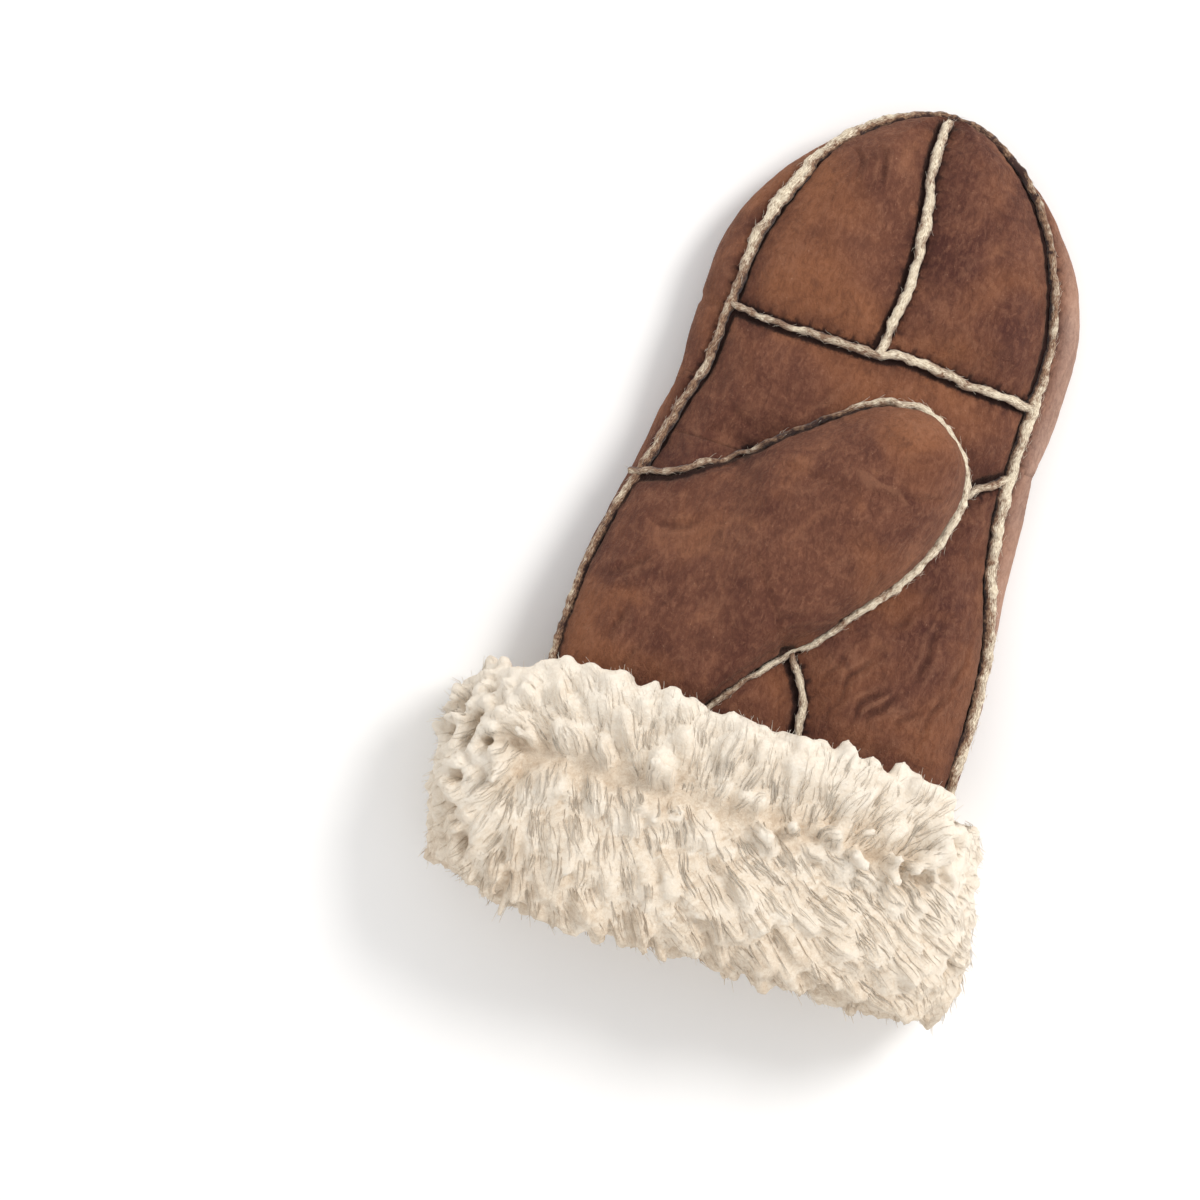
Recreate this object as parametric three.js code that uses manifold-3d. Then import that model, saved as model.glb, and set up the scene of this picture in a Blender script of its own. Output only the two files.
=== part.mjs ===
// A sheepskin mitten for the left hand. It lies on its back with the palm up, the thumb across
// the palm and the cuff turned back, so that the fleece shows. Millimetres, +Z up, +Y to the
// fingertips, -X on the thumb's side. Every leather panel is a thin wall, and the hand and the
// thumb are hollow. The raised seams between the panels are pieces of their own.
import * as THREE from "three";
import { mergeVertices } from "three/addons/utils/BufferGeometryUtils.js";
import Module from "manifold-3d";

const { clamp, degToRad, lerp, smoothstep } = THREE.MathUtils;
const wasm = await Module();
wasm.setup();

// Sizes of the hand, from the cuff's seam to the fingertips.
const HAND_LENGTH = 202.5;
const HAND_WIDTH = 114;
const HAND_THICKNESS = 36;
const TIP_LENGTH = 65.5;
const LEATHER = 1.6;
const CLEARANCE = 0.3;

// Sizes of the thumb, which lies across the palm.
const THUMB_LENGTH = 65;
const THUMB_WIDTH = 60;
const THUMB_THICKNESS = 19;
const THUMB_ANGLE = 45;
const THUMB_LIFT = 2.8;
const PALM_GAP = 0.5;

// Sizes of the raised seams, and of the valleys that they lie in.
const SEAM_WIDTH = 2.4;
const SEAM_HEIGHT = 2.2;
const VALLEY_DEPTH = 2.8;
const VALLEY_REACH = 16;
const SEAM_STEP = 12;

// Sizes of the turned-back cuff and its fleece.
const CUFF_DEPTH = 52;
const CUFF_HEM = 3;
const CUFF_GAP = 1.5;
const FLEECE_BACKING = 8;
const FLEECE_RELIEF = 3;
const LINING_BACKING = 3.5;
const LINING_DEPTH = 46;
const LOCK_LENGTH = 13;
const LOCK_WIDTH = 15;
const LOCK_THICKNESS = 8;
const LINING_LOCK_LENGTH = 7;

// How round the sections are: 2 is an ellipse, and more is squarer.
const PALM_ROUNDNESS = 2.3;
const BACK_ROUNDNESS = 2.7;
const TIP_ROUNDNESS = 1.75;
const TIP_SIDE_ROUNDNESS = 2.3;

// Sections of the hand and of the cuff below it. along is a share of HAND_LENGTH, left and right
// are shares of HAND_WIDTH, and low, side and high are heights as shares of HAND_THICKNESS.
const SECTIONS = [
  { along: -0.28, left: -0.605, right: 0.58, low: 0.33, side: 0.8, high: 1.27 },
  { along: -0.1, left: -0.597, right: 0.572, low: 0.3, side: 0.77, high: 1.25 },
  { along: 0.0, left: -0.592, right: 0.567, low: 0.26, side: 0.72, high: 1.22 },
  { along: 0.16, left: -0.592, right: 0.568, low: 0.12, side: 0.58, high: 1.1 },
  { along: 0.26, left: -0.57, right: 0.553, low: 0.02, side: 0.5, high: 1.02 },
  { along: 0.36, left: -0.532, right: 0.525, low: -0.06, side: 0.45, high: 0.98 },
  { along: 0.46, left: -0.502, right: 0.512, low: -0.09, side: 0.43, high: 0.98 },
  { along: 0.61, left: -0.487, right: 0.513, low: -0.1, side: 0.42, high: 1.0 },
  { along: 0.8, left: -0.482, right: 0.51, low: -0.08, side: 0.42, high: 0.96 },
  { along: 1.0, left: -0.482, right: 0.51, low: 0.04, side: 0.42, high: 0.88 },
];

// Where the side seam lies on the palm side, as shares of the half width.
const SIDE_SEAM = [
  { along: 0.0, left: -0.985, right: 0.985 },
  { along: 0.26, left: -0.982, right: 0.966 },
  { along: 0.36, left: -0.96, right: 0.915 },
  { along: 0.46, left: -0.93, right: 0.88 },
  { along: 0.53, left: -0.878, right: 0.872 },
  { along: 0.81, left: -0.88, right: 0.875 },
  { along: 0.91, left: -0.955, right: 0.925 },
  { along: 1.0, left: -0.99, right: 0.99 },
];

// Routes of the other seams. along is a share of HAND_LENGTH, and across of the half width.
const PALM_CENTRE = [
  { along: 0.985, across: -0.16 },
  { along: 0.91, across: -0.08 },
  { along: 0.81, across: 0.01 },
  { along: 0.71, across: 0.015 },
  { along: 0.614, across: -0.025 },
];
const PALM_CROSS = [
  { along: 0.621, across: -0.875 },
  { along: 0.614, across: -0.67 },
  { along: 0.613, across: -0.33 },
  { along: 0.614, across: -0.025 },
  { along: 0.621, across: 0.13 },
  { along: 0.613, across: 0.46 },
  { along: 0.61, across: 0.868 },
];
const PALM_LOW_CROSS = [
  { along: 0.496, across: 0.872 },
  { along: 0.474, across: 0.74 },
  { along: 0.447, across: 0.63 },
  { along: 0.415, across: 0.39 },
  { along: 0.4, across: 0.0 },
  { along: 0.415, across: -0.48 },
];
const BACK_CENTRE = [
  { along: 0.985, across: -0.35 },
  { along: 0.88, across: -0.2 },
  { along: 0.74, across: -0.17 },
  { along: 0.6, across: -0.08 },
  { along: 0.45, across: -0.03 },
  { along: 0.15, across: -0.02 },
  { along: 0.0, across: 0.0 },
];
const BACK_CROSS_LEFT = [
  { along: 0.595, across: -0.08 },
  { along: 0.575, across: -0.35 },
  { along: 0.54, across: -0.7 },
  { along: 0.5, across: -0.985 },
];
const BACK_CROSS_RIGHT = [
  { along: 0.592, across: -0.08 },
  { along: 0.582, across: 0.3 },
  { along: 0.56, across: 0.65 },
  { along: 0.51, across: 0.985 },
];

// The thumb's root, and its outline as shares: out of THUMB_LENGTH from the root along the
// thumb, and aside of THUMB_WIDTH, plus towards the fingers.
const THUMB_ROOT = { along: 0.283, across: -0.2 };
const THUMB_UPPER_BASE = [
  { along: 0.338, across: -0.962 },
  { along: 0.357, across: -0.78 },
  { along: 0.388, across: -0.625 },
];
const THUMB_UPPER = [
  { out: 0.12, aside: 0.495 },
  { out: 0.37, aside: 0.48 },
  { out: 0.57, aside: 0.455 },
  { out: 0.755, aside: 0.415 },
  { out: 0.89, aside: 0.33 },
  { out: 0.965, aside: 0.225 },
  { out: 1.0, aside: 0.055 },
];
const THUMB_LOWER = [
  { out: 0.985, aside: -0.08 },
  { out: 0.91, aside: -0.215 },
  { out: 0.8, aside: -0.3 },
  { out: 0.66, aside: -0.38 },
  { out: 0.5, aside: -0.435 },
  { out: 0.2, aside: -0.485 },
  { out: 0.0, aside: -0.51 },
  { out: -0.11, aside: -0.5 },
];
const THUMB_LOWER_BASE = [
  { along: 0.1, across: -0.085 },
  { along: 0.045, across: -0.205 },
  { along: 0.0, across: -0.33 },
];
// The wedge's seam starts at this share of the thumb's lower edge and runs to the cuff's seam.
// down is a share of the way, and aside is added to the start's place across.
const WEDGE_START = 0.49;
const WEDGE_SEAM = [
  { down: 0, aside: 0 },
  { down: 0.23, aside: 0.08 },
  { down: 0.48, aside: 0.13 },
  { down: 1, aside: 0.155 },
];
// Thickness of the thumb from the side seam, 0, to its tip, 1, as a share of THUMB_THICKNESS.
const THUMB_CROWN = [
  { along: 0, crown: 0 },
  { along: 0.2, crown: 0.3 },
  { along: 0.4, crown: 0.72 },
  { along: 0.6, crown: 1 },
  { along: 0.8, crown: 0.98 },
  { along: 0.92, crown: 0.72 },
  { along: 1, crown: 0.3 },
];
// Where the thumb's edges leave the palm, as shares of the upper and the lower edge.
const FREE_UPPER = 0.3;
const FREE_LOWER = 0.54;
const FREE_RAMP = 0.12;

// How thick the outer fleece is from the cuff's hem, 0, to its fold, 1, on its two faces and at
// its two ends, as shares of FLEECE_BACKING.
const FLEECE_FORM = [
  { along: 0, palm: 1.0, back: 0.6, left: 0.75, right: 0.15 },
  { along: 0.25, palm: 1.3, back: 0.625, left: 1.45, right: 0.3 },
  { along: 0.5, palm: 1.3, back: 0.625, left: 1.35, right: 0.75 },
  { along: 0.75, palm: 1.2, back: 0.625, left: 0.95, right: 0.9 },
  { along: 1, palm: 0.95, back: 0.5, left: 0.6, right: 0.45 },
];
// Rows of fleece locks from the hem, 0, to the fold, 1. lean is in degrees from straight out
// towards the fingers, on the faces and at the two ends, and length is a share of LOCK_LENGTH.
const FLEECE_ROWS = [
  { along: 0.04, lean: 58, left: 5, right: -50, length: 0.9, count: 18 },
  { along: 0.93, lean: -55, left: -50, right: -65, length: 1.1, count: 16 },
];
const LINING_ROWS = [
  { along: 0.9, lean: -60, left: -60, right: -60, length: 1, count: 9 },
];
// The cosines of the turns between which a face of the cuff becomes its end.
const END_FROM = 0.6;
const END_TO = 0.97;

// Colours and finishes.
const leather = (name) =>
  new THREE.MeshStandardMaterial({ name, color: "#7a4e3c", roughness: 0.85, metalness: 0 });
const LEATHER_FINISH = leather("leather");
const CUFF_FINISH = leather("cuff_leather");
const SEAM_FINISH = new THREE.MeshStandardMaterial({
  name: "seam_wool",
  color: "#c9b79b",
  roughness: 0.95,
  metalness: 0,
});
const FLEECE_FINISH = new THREE.MeshStandardMaterial({
  name: "fleece",
  color: "#e6d8c2",
  roughness: 1,
  metalness: 0,
});

const FAR = 10 * HAND_LENGTH;
const UP = new THREE.Vector3(0, 0, 1);
const powered = (value, power) => Math.sign(value) * Math.abs(value) ** power;
const steps = (count) => Array.from({ length: count + 1 }, (_, i) => i / count);

// The value of a named column at a place along, on a smooth curve through the rows.
function column(rows, name, at) {
  const last = rows.length - 1;
  const place = clamp(at, rows[0].along, rows[last].along);
  const i = Math.max(0, Math.min(last - 1, rows.findIndex((row) => row.along >= place) - 1));
  const slope = (k) => {
    const before = rows[Math.max(0, k - 1)];
    const after = rows[Math.min(last, k + 1)];
    return (after[name] - before[name]) / (after.along - before.along);
  };
  const span = rows[i + 1].along - rows[i].along;
  const t = (place - rows[i].along) / span;
  const rise = rows[i + 1][name] - rows[i][name];
  const start = slope(i) * span;
  const end = slope(i + 1) * span;
  return (
    rows[i][name] + t * (start + t * (3 * rise - 2 * start - end + t * (start + end - 2 * rise)))
  );
}

// The hand's section at a place y: its centre, half width, and heights. inset moves the wall in.
function section(y, inset = 0) {
  const along = y / HAND_LENGTH;
  const left = column(SECTIONS, "left", along) * HAND_WIDTH;
  const right = column(SECTIONS, "right", along) * HAND_WIDTH;
  const side = column(SECTIONS, "side", along) * HAND_THICKNESS;
  const high = column(SECTIONS, "high", along) * HAND_THICKNESS;
  const low = column(SECTIONS, "low", along) * HAND_THICKNESS;
  const into = clamp((y - HAND_LENGTH + TIP_LENGTH) / (TIP_LENGTH - inset), 0, 1);
  const narrow = (1 - into ** TIP_ROUNDNESS) ** (1 / TIP_ROUNDNESS);
  const thin = (1 - into ** TIP_SIDE_ROUNDNESS) ** (1 / TIP_SIDE_ROUNDNESS);
  return {
    centre: (left + right) / 2,
    half: ((right - left) / 2 - inset) * narrow,
    side,
    rise: (high - side - inset) * thin,
    drop: (side - low - inset) * thin,
  };
}

// A point of the hand's smooth surface: turn is 0 at the right edge, a quarter turn on the palm,
// half a turn at the left edge, and then on round the back. It is flat where it rests.
function smoothSkin(y, turn, inset = 0) {
  const { centre, half, side, rise, drop } = section(y, inset);
  const upper = Math.sin(turn) >= 0;
  const power = 2 / (upper ? PALM_ROUNDNESS : BACK_ROUNDNESS);
  const x = centre + half * powered(Math.cos(turn), power);
  const z = side + (upper ? rise : drop) * powered(Math.sin(turn), power);
  return new THREE.Vector3(x, y, Math.max(z, inset));
}

// The direction out of the hand's surface.
function outward(y, turn) {
  const near = Math.min(y, HAND_LENGTH * 0.998);
  const nudge = 0.01;
  const round = smoothSkin(near, turn + nudge).sub(smoothSkin(near, turn - nudge));
  const along = smoothSkin(near + nudge, turn).sub(smoothSkin(near - nudge, turn));
  return along.cross(round).normalize();
}

// The turn of a place across the palm (face 1) or the back (face -1).
function turnOf(across, face) {
  const roundness = face > 0 ? PALM_ROUNDNESS : BACK_ROUNDNESS;
  return face * Math.acos(powered(clamp(across, -1, 1), roundness / 2));
}
const turnAt = (rows, name, y) => turnOf(column(rows, name, y / HAND_LENGTH), 1);

// A route's places as points of the surface, each with the direction out of it.
const onSkin = ({ along, across }, face) => {
  const y = along * HAND_LENGTH;
  const turn = turnOf(across, face);
  return { at: smoothSkin(y, turn), out: outward(y, turn) };
};

// The height of the smooth palm over a plan point.
function palmHeight(x, y) {
  const { centre, half, side, rise } = section(Math.min(y, HAND_LENGTH * 0.99));
  const across = Math.min(Math.abs((x - centre) / half), 0.995);
  return side + rise * (1 - across ** PALM_ROUNDNESS) ** (1 / PALM_ROUNDNESS);
}

// The thumb's outline in plan: its upper edge and its lower edge, each from the side seam to the
// tip. The lower edge first runs along the cuff's seam.
function planOf({ along, across }) {
  const y = along * HAND_LENGTH;
  const { centre, half } = section(y);
  return new THREE.Vector2(centre + across * half, y);
}
function thumbPlan({ out, aside }) {
  const along = new THREE.Vector2(1, 0).rotateAround(new THREE.Vector2(), degToRad(THUMB_ANGLE));
  const across = new THREE.Vector2(-along.y, along.x);
  return planOf(THUMB_ROOT)
    .addScaledVector(along, out * THUMB_LENGTH)
    .addScaledVector(across, aside * THUMB_WIDTH);
}
const upperEdge = new THREE.SplineCurve([
  ...THUMB_UPPER_BASE.map(planOf),
  ...THUMB_UPPER.map(thumbPlan),
]);
const lowerEdge = new THREE.SplineCurve([
  planOf({ along: 0, across: -0.985 }),
  planOf({ along: 0, across: -0.65 }),
  ...THUMB_LOWER_BASE.map(planOf).reverse(),
  ...THUMB_LOWER.map(thumbPlan).reverse(),
  thumbPlan(THUMB_UPPER.at(-1)),
]);
// Where the lower edge turns off the cuff's seam, as a share of its length.
const cuffCorner = planOf(THUMB_LOWER_BASE.at(-1));
const LOWER_CORNER = planOf({ along: 0, across: -0.985 }).distanceTo(cuffCorner) / lowerEdge.getLength();

// The places of the wedge's seam.
const wedgeTop = lowerEdge.getPointAt(WEDGE_START);
const wedgeSection = section(wedgeTop.y);
const wedgeRoute = WEDGE_SEAM.map(({ down, aside }) => ({
  along: lerp(wedgeTop.y / HAND_LENGTH, 0, down),
  across: (wedgeTop.x - wedgeSection.centre) / wedgeSection.half + aside,
}));

// Turns a route into evenly spaced stations, each with a point and the direction out.
function spaced(stations, step) {
  const path = new THREE.CatmullRomCurve3(stations.map((s) => s.at), false, "centripetal");
  const outs = new THREE.CatmullRomCurve3(stations.map((s) => s.out), false, "centripetal");
  const count = Math.max(2, Math.round(path.getLength() / step));
  return steps(count).map((share) => {
    const at = path.getUtoTmapping(share);
    return {
      at: path.getPoint(at),
      out: outs.getPoint(at).normalize(),
      ahead: path.getTangent(at),
    };
  });
}

// The seams that lie on the smooth surface, as stations.
const sideRows = steps(60).map((share) => 0.997 * Math.sin((share * Math.PI) / 2));
const sideStations = (name) =>
  sideRows.map((along) => onSkin({ along, across: column(SIDE_SEAM, name, along) }, 1));
const ringStations = steps(24).map((share) => {
  const turn = share * 2 * Math.PI;
  return { at: smoothSkin(0, turn), out: outward(0, turn) };
});
const skinSeams = {
  side_seam: [...sideStations("left"), ...sideStations("right").reverse()],
  palm_cross_seam: PALM_CROSS.map((place) => onSkin(place, 1)),
  palm_centre_seam: PALM_CENTRE.map((place) => onSkin(place, 1)),
  palm_low_cross_seam: PALM_LOW_CROSS.map((place) => onSkin(place, 1)),
  thumb_base_seam: wedgeRoute.map((place) => onSkin(place, 1)),
  back_centre_seam: BACK_CENTRE.map((place) => onSkin(place, -1)),
  back_cross_seam_left: BACK_CROSS_LEFT.map((place) => onSkin(place, -1)),
  back_cross_seam_right: BACK_CROSS_RIGHT.map((place) => onSkin(place, -1)),
  cuff_seam: ringStations,
};

// How far those seams pull the leather in at a point.
const seamPoints = Object.values(skinSeams).flatMap((stations) => spaced(stations, 4).map((s) => s.at));
function valley(point) {
  const nearest = Math.min(...seamPoints.map((p) => p.distanceToSquared(point)));
  return VALLEY_DEPTH * Math.max(0, 1 - nearest / VALLEY_REACH ** 2) ** 2;
}

// A point of the leather's surface, with the seams' valleys.
function skin(y, turn, inset = 0) {
  const at = smoothSkin(y, turn, inset);
  return at.addScaledVector(outward(y, turn), -valley(smoothSkin(y, turn)));
}

// How far the thumb's edges stand off the palm, at a share along it and across it.
function thumbLift(along, across) {
  const low = smoothstep(along, FREE_LOWER, FREE_LOWER + FREE_RAMP);
  const high = smoothstep(along, FREE_UPPER, FREE_UPPER + FREE_RAMP);
  return THUMB_LIFT * lerp(low, high, across);
}

// A point of the thumb's upper wall, for shares along the thumb and across it from its lower
// edge. inset moves it in, or out where it is negative.
function thumbSkin(along, across, inset = 0) {
  const low = lowerEdge.getPointAt(along);
  const high = upperEdge.getPointAt(along);
  const plan = low.clone().lerp(high, across);
  const bulge = (1 - Math.abs(2 * across - 1) ** 2.2) ** 0.55;
  const crown = column(THUMB_CROWN, "crown", along) * THUMB_THICKNESS * bulge;
  const lift = thumbLift(along, across);
  const top = new THREE.Vector3(plan.x, plan.y, palmHeight(plan.x, plan.y) + lift + crown);
  const dent = valley(top) * (1 - lift / THUMB_LIFT);
  const taken = inset / Math.max(low.distanceTo(high), 0.01);
  const moved = low.clone().lerp(high, taken + across * (1 - 2 * taken));
  return new THREE.Vector3(moved.x, moved.y, top.z - dent - inset);
}

// The thumb's own seam runs round the thumb's edge, from the side seam to the cuff's seam.
function thumbStations() {
  const edge = (curve, across, from) =>
    steps(40)
      .map((share) => lerp(from, 0.985, share))
      .map((along) => {
        const at = thumbSkin(along, across);
        const tangent = curve.getTangentAt(along);
        const away = new THREE.Vector3(tangent.y, -tangent.x, 0);
        if (across > 0.5) away.negate();
        const lift = thumbLift(along, across) / THUMB_LIFT;
        return { at, out: away.multiplyScalar(0.75 * lift).add(UP).normalize() };
      });
  return [...edge(upperEdge, 1, 0), ...edge(lowerEdge, 0, LOWER_CORNER).reverse()];
}
const seamRoutes = { thumb_seam: thumbStations(), ...skinSeams };

// A closed solid through rings of points in one order. Open ends are closed by a strip that
// joins each ring's first half to its second, and a looped one joins its last ring to its first.
function loft(rings, looped = false) {
  const sides = rings[0].length;
  const index = [];
  const quad = (a, b, c, d) => index.push(a, b, c, a, c, d);
  for (let i = 0; i < rings.length - (looped ? 0 : 1); i++) {
    const here = i * sides;
    const next = ((i + 1) % rings.length) * sides;
    for (let j = 0; j < sides; j++) {
      const k = (j + 1) % sides;
      quad(here + j, here + k, next + k, next + j);
    }
  }
  const end = (rings.length - 1) * sides;
  for (let j = 0; !looped && j < sides / 2 - 1; j++) {
    quad(sides - 1 - j, sides - 2 - j, j + 1, j);
    quad(end + j, end + j + 1, end + sides - 2 - j, end + sides - 1 - j);
  }
  const positions = rings.flat().flatMap((point) => point.toArray());
  const geometry = new THREE.BufferGeometry()
    .setAttribute("position", new THREE.Float32BufferAttribute(positions, 3))
    .setIndex(index);
  return solidOf(geometry);
}

// A geometry as a solid to cut and join. One that was wound inwards is turned round.
function solidOf(geometry) {
  geometry.deleteAttribute("normal");
  geometry.deleteAttribute("uv");
  const merged = mergeVertices(geometry, 1e-4);
  const vertProperties = new Float32Array(merged.attributes.position.array);
  const make = (triVerts) =>
    new wasm.Manifold(new wasm.Mesh({ numProp: 3, vertProperties, triVerts }));
  const triVerts = new Uint32Array(merged.index.array);
  const made = make(triVerts);
  return made.volume() < 0 ? make(triVerts.reverse()) : made;
}

// The largest body of a cut solid.
const largest = (solid) => solid.decompose().sort((a, b) => b.volume() - a.volume())[0];

// A wall between an outer and an inner grid: point(u, v, inside) gives each one's points.
function wall(us, vs, point) {
  return loft(
    vs.map((v) => [
      ...us.map((u) => point(u, v, false)),
      ...us.map((u) => point(u, v, true)).reverse(),
    ]),
  );
}

// A raised seam along its stations, sunk through the leather. grow makes it fatter all round.
function ridge(stations, grow = 0, looped = false) {
  const half = SEAM_WIDTH / 2 + grow;
  const top = SEAM_HEIGHT + grow;
  const foot = -LEATHER - 2 * grow;
  const outline = [
    [-half, foot],
    [-half, 0.5 * top],
    [-0.45 * half, top],
    [0.45 * half, top],
    [half, 0.5 * top],
    [half, foot],
  ];
  const rings = stations.map(({ at, out, ahead }, i) => {
    const beside = ahead.clone().cross(out).normalize();
    const upright = beside.clone().cross(ahead);
    const slide = !looped && i === 0 ? -grow : !looped && i === stations.length - 1 ? grow : 0;
    return outline.map(([b, n]) =>
      at.clone().addScaledVector(beside, b).addScaledVector(upright, n).addScaledVector(ahead, slide),
    );
  });
  return loft(looped ? rings.slice(0, -1) : rings, looped);
}

// The stations of a seam at the bottom of its valley.
function sunk(name) {
  const depth = name === "thumb_seam" ? 0 : VALLEY_DEPTH;
  const step = name === "cuff_seam" ? 1.5 * SEAM_STEP : SEAM_STEP;
  return spaced(seamRoutes[name], step).map(({ at, out, ahead }) => ({
    at: at.clone().addScaledVector(out, -depth),
    out,
    ahead,
  }));
}

// Each seam stops clear of those made before it.
const SEAM_ORDER = ["side_seam", "thumb_seam", ...Object.keys(skinSeams).slice(1)];
const seams = {};
const fatSeams = [];
for (const name of SEAM_ORDER) {
  const stations = sunk(name);
  const looped = name === "cuff_seam";
  let solid = ridge(stations, 0, looped);
  for (const fat of fatSeams) solid = solid.subtract(fat);
  seams[name] = largest(solid);
  fatSeams.push(ridge(stations, CLEARANCE, looped));
}
const allFatSeams = wasm.Manifold.union(fatSeams);

// A prism over a plan outline, tall enough to cut through the whole mitten.
function prism(points) {
  const shape = new THREE.Shape(points);
  const geometry = new THREE.ExtrudeGeometry(shape, { depth: 2 * FAR, bevelEnabled: false });
  return solidOf(geometry.translate(0, 0, -FAR));
}

// All that lies on one side of a route in plan, towards the direction given.
function beyond(route, towards) {
  const points = route.map(planOf);
  const first = points[0];
  const last = points.at(-1);
  const before = first.clone().sub(points[1]).setLength(FAR).add(first);
  const after = last.clone().sub(points.at(-2)).setLength(FAR).add(last);
  const away = new THREE.Vector2(...towards).multiplyScalar(FAR);
  return prism([before, ...points, after, after.clone().add(away), before.clone().add(away)]);
}
const upwards = [0, 1];
const downwards = [0, -1];
const leftwards = [-1, 0];
const rightwards = [1, 0];

// The palm and the back as whole walls, from the cuff's seam to the fingertips.
const PALM_COLUMNS = 8;
const BACK_COLUMNS = 14;
const BACK_CROWDING = 0.35;
const ROWS = 11;
// The back has more columns where it lies flat, and fewer at its sides.
const rowsAlong = steps(ROWS).map((share) => {
  const even = share * HAND_LENGTH;
  const rounded = HAND_LENGTH * Math.sin((share * Math.PI) / 2);
  return Math.min(lerp(even, rounded, 0.75), HAND_LENGTH - SEAM_WIDTH / 2);
});
const palmWall = wall(steps(PALM_COLUMNS), rowsAlong, (share, y, inside) => {
  const turn = lerp(turnAt(SIDE_SEAM, "right", y), turnAt(SIDE_SEAM, "left", y), share);
  return skin(y, turn, inside ? LEATHER : 0);
});
const backAcross = steps(BACK_COLUMNS).map(
  (share) => share + (BACK_CROWDING * Math.sin(2 * Math.PI * share)) / (2 * Math.PI),
);
const backWall = wall(backAcross, rowsAlong, (share, y, inside) => {
  const from = turnAt(SIDE_SEAM, "left", y);
  const to = turnAt(SIDE_SEAM, "right", y) + 2 * Math.PI;
  return skin(y, lerp(from, to, share), inside ? LEATHER : 0);
});

// The thumb's two walls. grow makes the upper one fatter.
const THUMB_STATIONS = 11;
const THUMB_COLUMNS = 8;
const THUMB_END = 0.985;
const thumbAcross = steps(THUMB_COLUMNS).map((share) => 0.5 - 0.5 * Math.cos(share * Math.PI));
const thumbAlong = steps(THUMB_STATIONS).map((share) => THUMB_END * lerp(share, 1 - (1 - share) ** 1.7, 0.6));
const thumbUpper = (grow) =>
  wall(thumbAcross, thumbAlong, (across, along, inside) =>
    thumbSkin(along, across, inside ? LEATHER + grow : -grow),
  );
const THUMB_RIM = LEATHER + SEAM_WIDTH + 2 * CLEARANCE;
const THUMB_INNER_END = 0.88;
const thumbLower = wall(thumbAcross, steps(6), (across, share, inside) => {
  const start = lerp(FREE_LOWER, FREE_UPPER, across) + FREE_RAMP / 3;
  const along = lerp(start, THUMB_INNER_END, share);
  const low = lowerEdge.getPointAt(along);
  const high = upperEdge.getPointAt(along);
  const taken = Math.min(THUMB_RIM / low.distanceTo(high), 0.45);
  const plan = low.clone().lerp(high, lerp(taken, 1 - taken, across));
  const z = palmHeight(plan.x, plan.y) + PALM_GAP + (inside ? LEATHER : 0);
  return new THREE.Vector3(plan.x, plan.y, z);
});

// The hole in the palm that the thumb grows from, and the wedge of leather beside it.
const edgePoints = (curve, from, to) => steps(10).map((s) => curve.getPointAt(lerp(from, to, s)));
const thumbHole = prism([
  planOf({ along: -0.05, across: -1.1 }),
  planOf({ along: THUMB_UPPER_BASE[0].along, across: -1.1 }),
  ...edgePoints(upperEdge, 0, FREE_UPPER),
  lowerEdge.getPointAt(FREE_LOWER),
  ...wedgeRoute.map(planOf),
  planOf({ along: -0.05, across: wedgeRoute.at(-1).across }),
]);
const wedgePlan = prism([
  ...edgePoints(lowerEdge, LOWER_CORNER, WEDGE_START),
  ...wedgeRoute.slice(1).map(planOf),
]);

// A panel: the part of a wall inside every region, clear of the seams and of other pieces.
function panel(from, regions, clearOf = []) {
  let solid = from;
  for (const region of regions) solid = solid.intersect(region);
  for (const other of [allFatSeams, ...clearOf]) solid = solid.subtract(other);
  return largest(solid);
}

const fatThumb = thumbUpper(1.5 * CLEARANCE);
const openPalm = palmWall.subtract(thumbHole);
const backCross = [...BACK_CROSS_LEFT].reverse().concat(BACK_CROSS_RIGHT.slice(1));
const panels = {
  palm_tip_left: panel(openPalm, [beyond(PALM_CROSS, upwards), beyond(PALM_CENTRE, leftwards)]),
  palm_tip_right: panel(openPalm, [beyond(PALM_CROSS, upwards), beyond(PALM_CENTRE, rightwards)]),
  palm_mid: panel(
    openPalm,
    [beyond(PALM_CROSS, downwards), beyond(PALM_LOW_CROSS, upwards)],
    [fatThumb],
  ),
  palm_low: panel(openPalm, [beyond(PALM_LOW_CROSS, downwards)], [fatThumb]),
  palm_wedge: panel(palmWall, [wedgePlan], [fatThumb]),
  thumb_outer: panel(thumbUpper(0), []),
  thumb_inner: thumbLower,
  back_tip_left: panel(backWall, [beyond(backCross, upwards), beyond(BACK_CENTRE, leftwards)]),
  back_tip_right: panel(backWall, [beyond(backCross, upwards), beyond(BACK_CENTRE, rightwards)]),
  back_hand_left: panel(backWall, [beyond(backCross, downwards), beyond(BACK_CENTRE, leftwards)]),
  back_hand_right: panel(backWall, [beyond(backCross, downwards), beyond(BACK_CENTRE, rightwards)]),
};

// The turned-back leather: down inside, round the fold, and up outside to the hem. Its rings are
// like the hand's surface, offset outwards.
const CUFF_SIDES = 24;
const FOLD_POINTS = 2;
const foldRadius = LEATHER + CUFF_GAP / 2;
const foldCentre = { y: foldRadius - CUFF_DEPTH, offset: CUFF_GAP / 2 };
const foldEnd = foldCentre.y - foldRadius - CLEARANCE;
const outerFace = CUFF_GAP + LEATHER + CLEARANCE;
const cuffTurns = steps(CUFF_SIDES)
  .slice(0, -1)
  .map((share) => share * 2 * Math.PI);
const cuffPoint = (y, offset, turn) => smoothSkin(y, turn, -offset);
function foldArc(radius, from = 0, to = 1) {
  return steps(FOLD_POINTS).map((share) => {
    const turn = Math.PI * (1 + lerp(from, to, share));
    return [foldCentre.y + radius * Math.sin(turn), foldCentre.offset + radius * Math.cos(turn)];
  });
}

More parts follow.
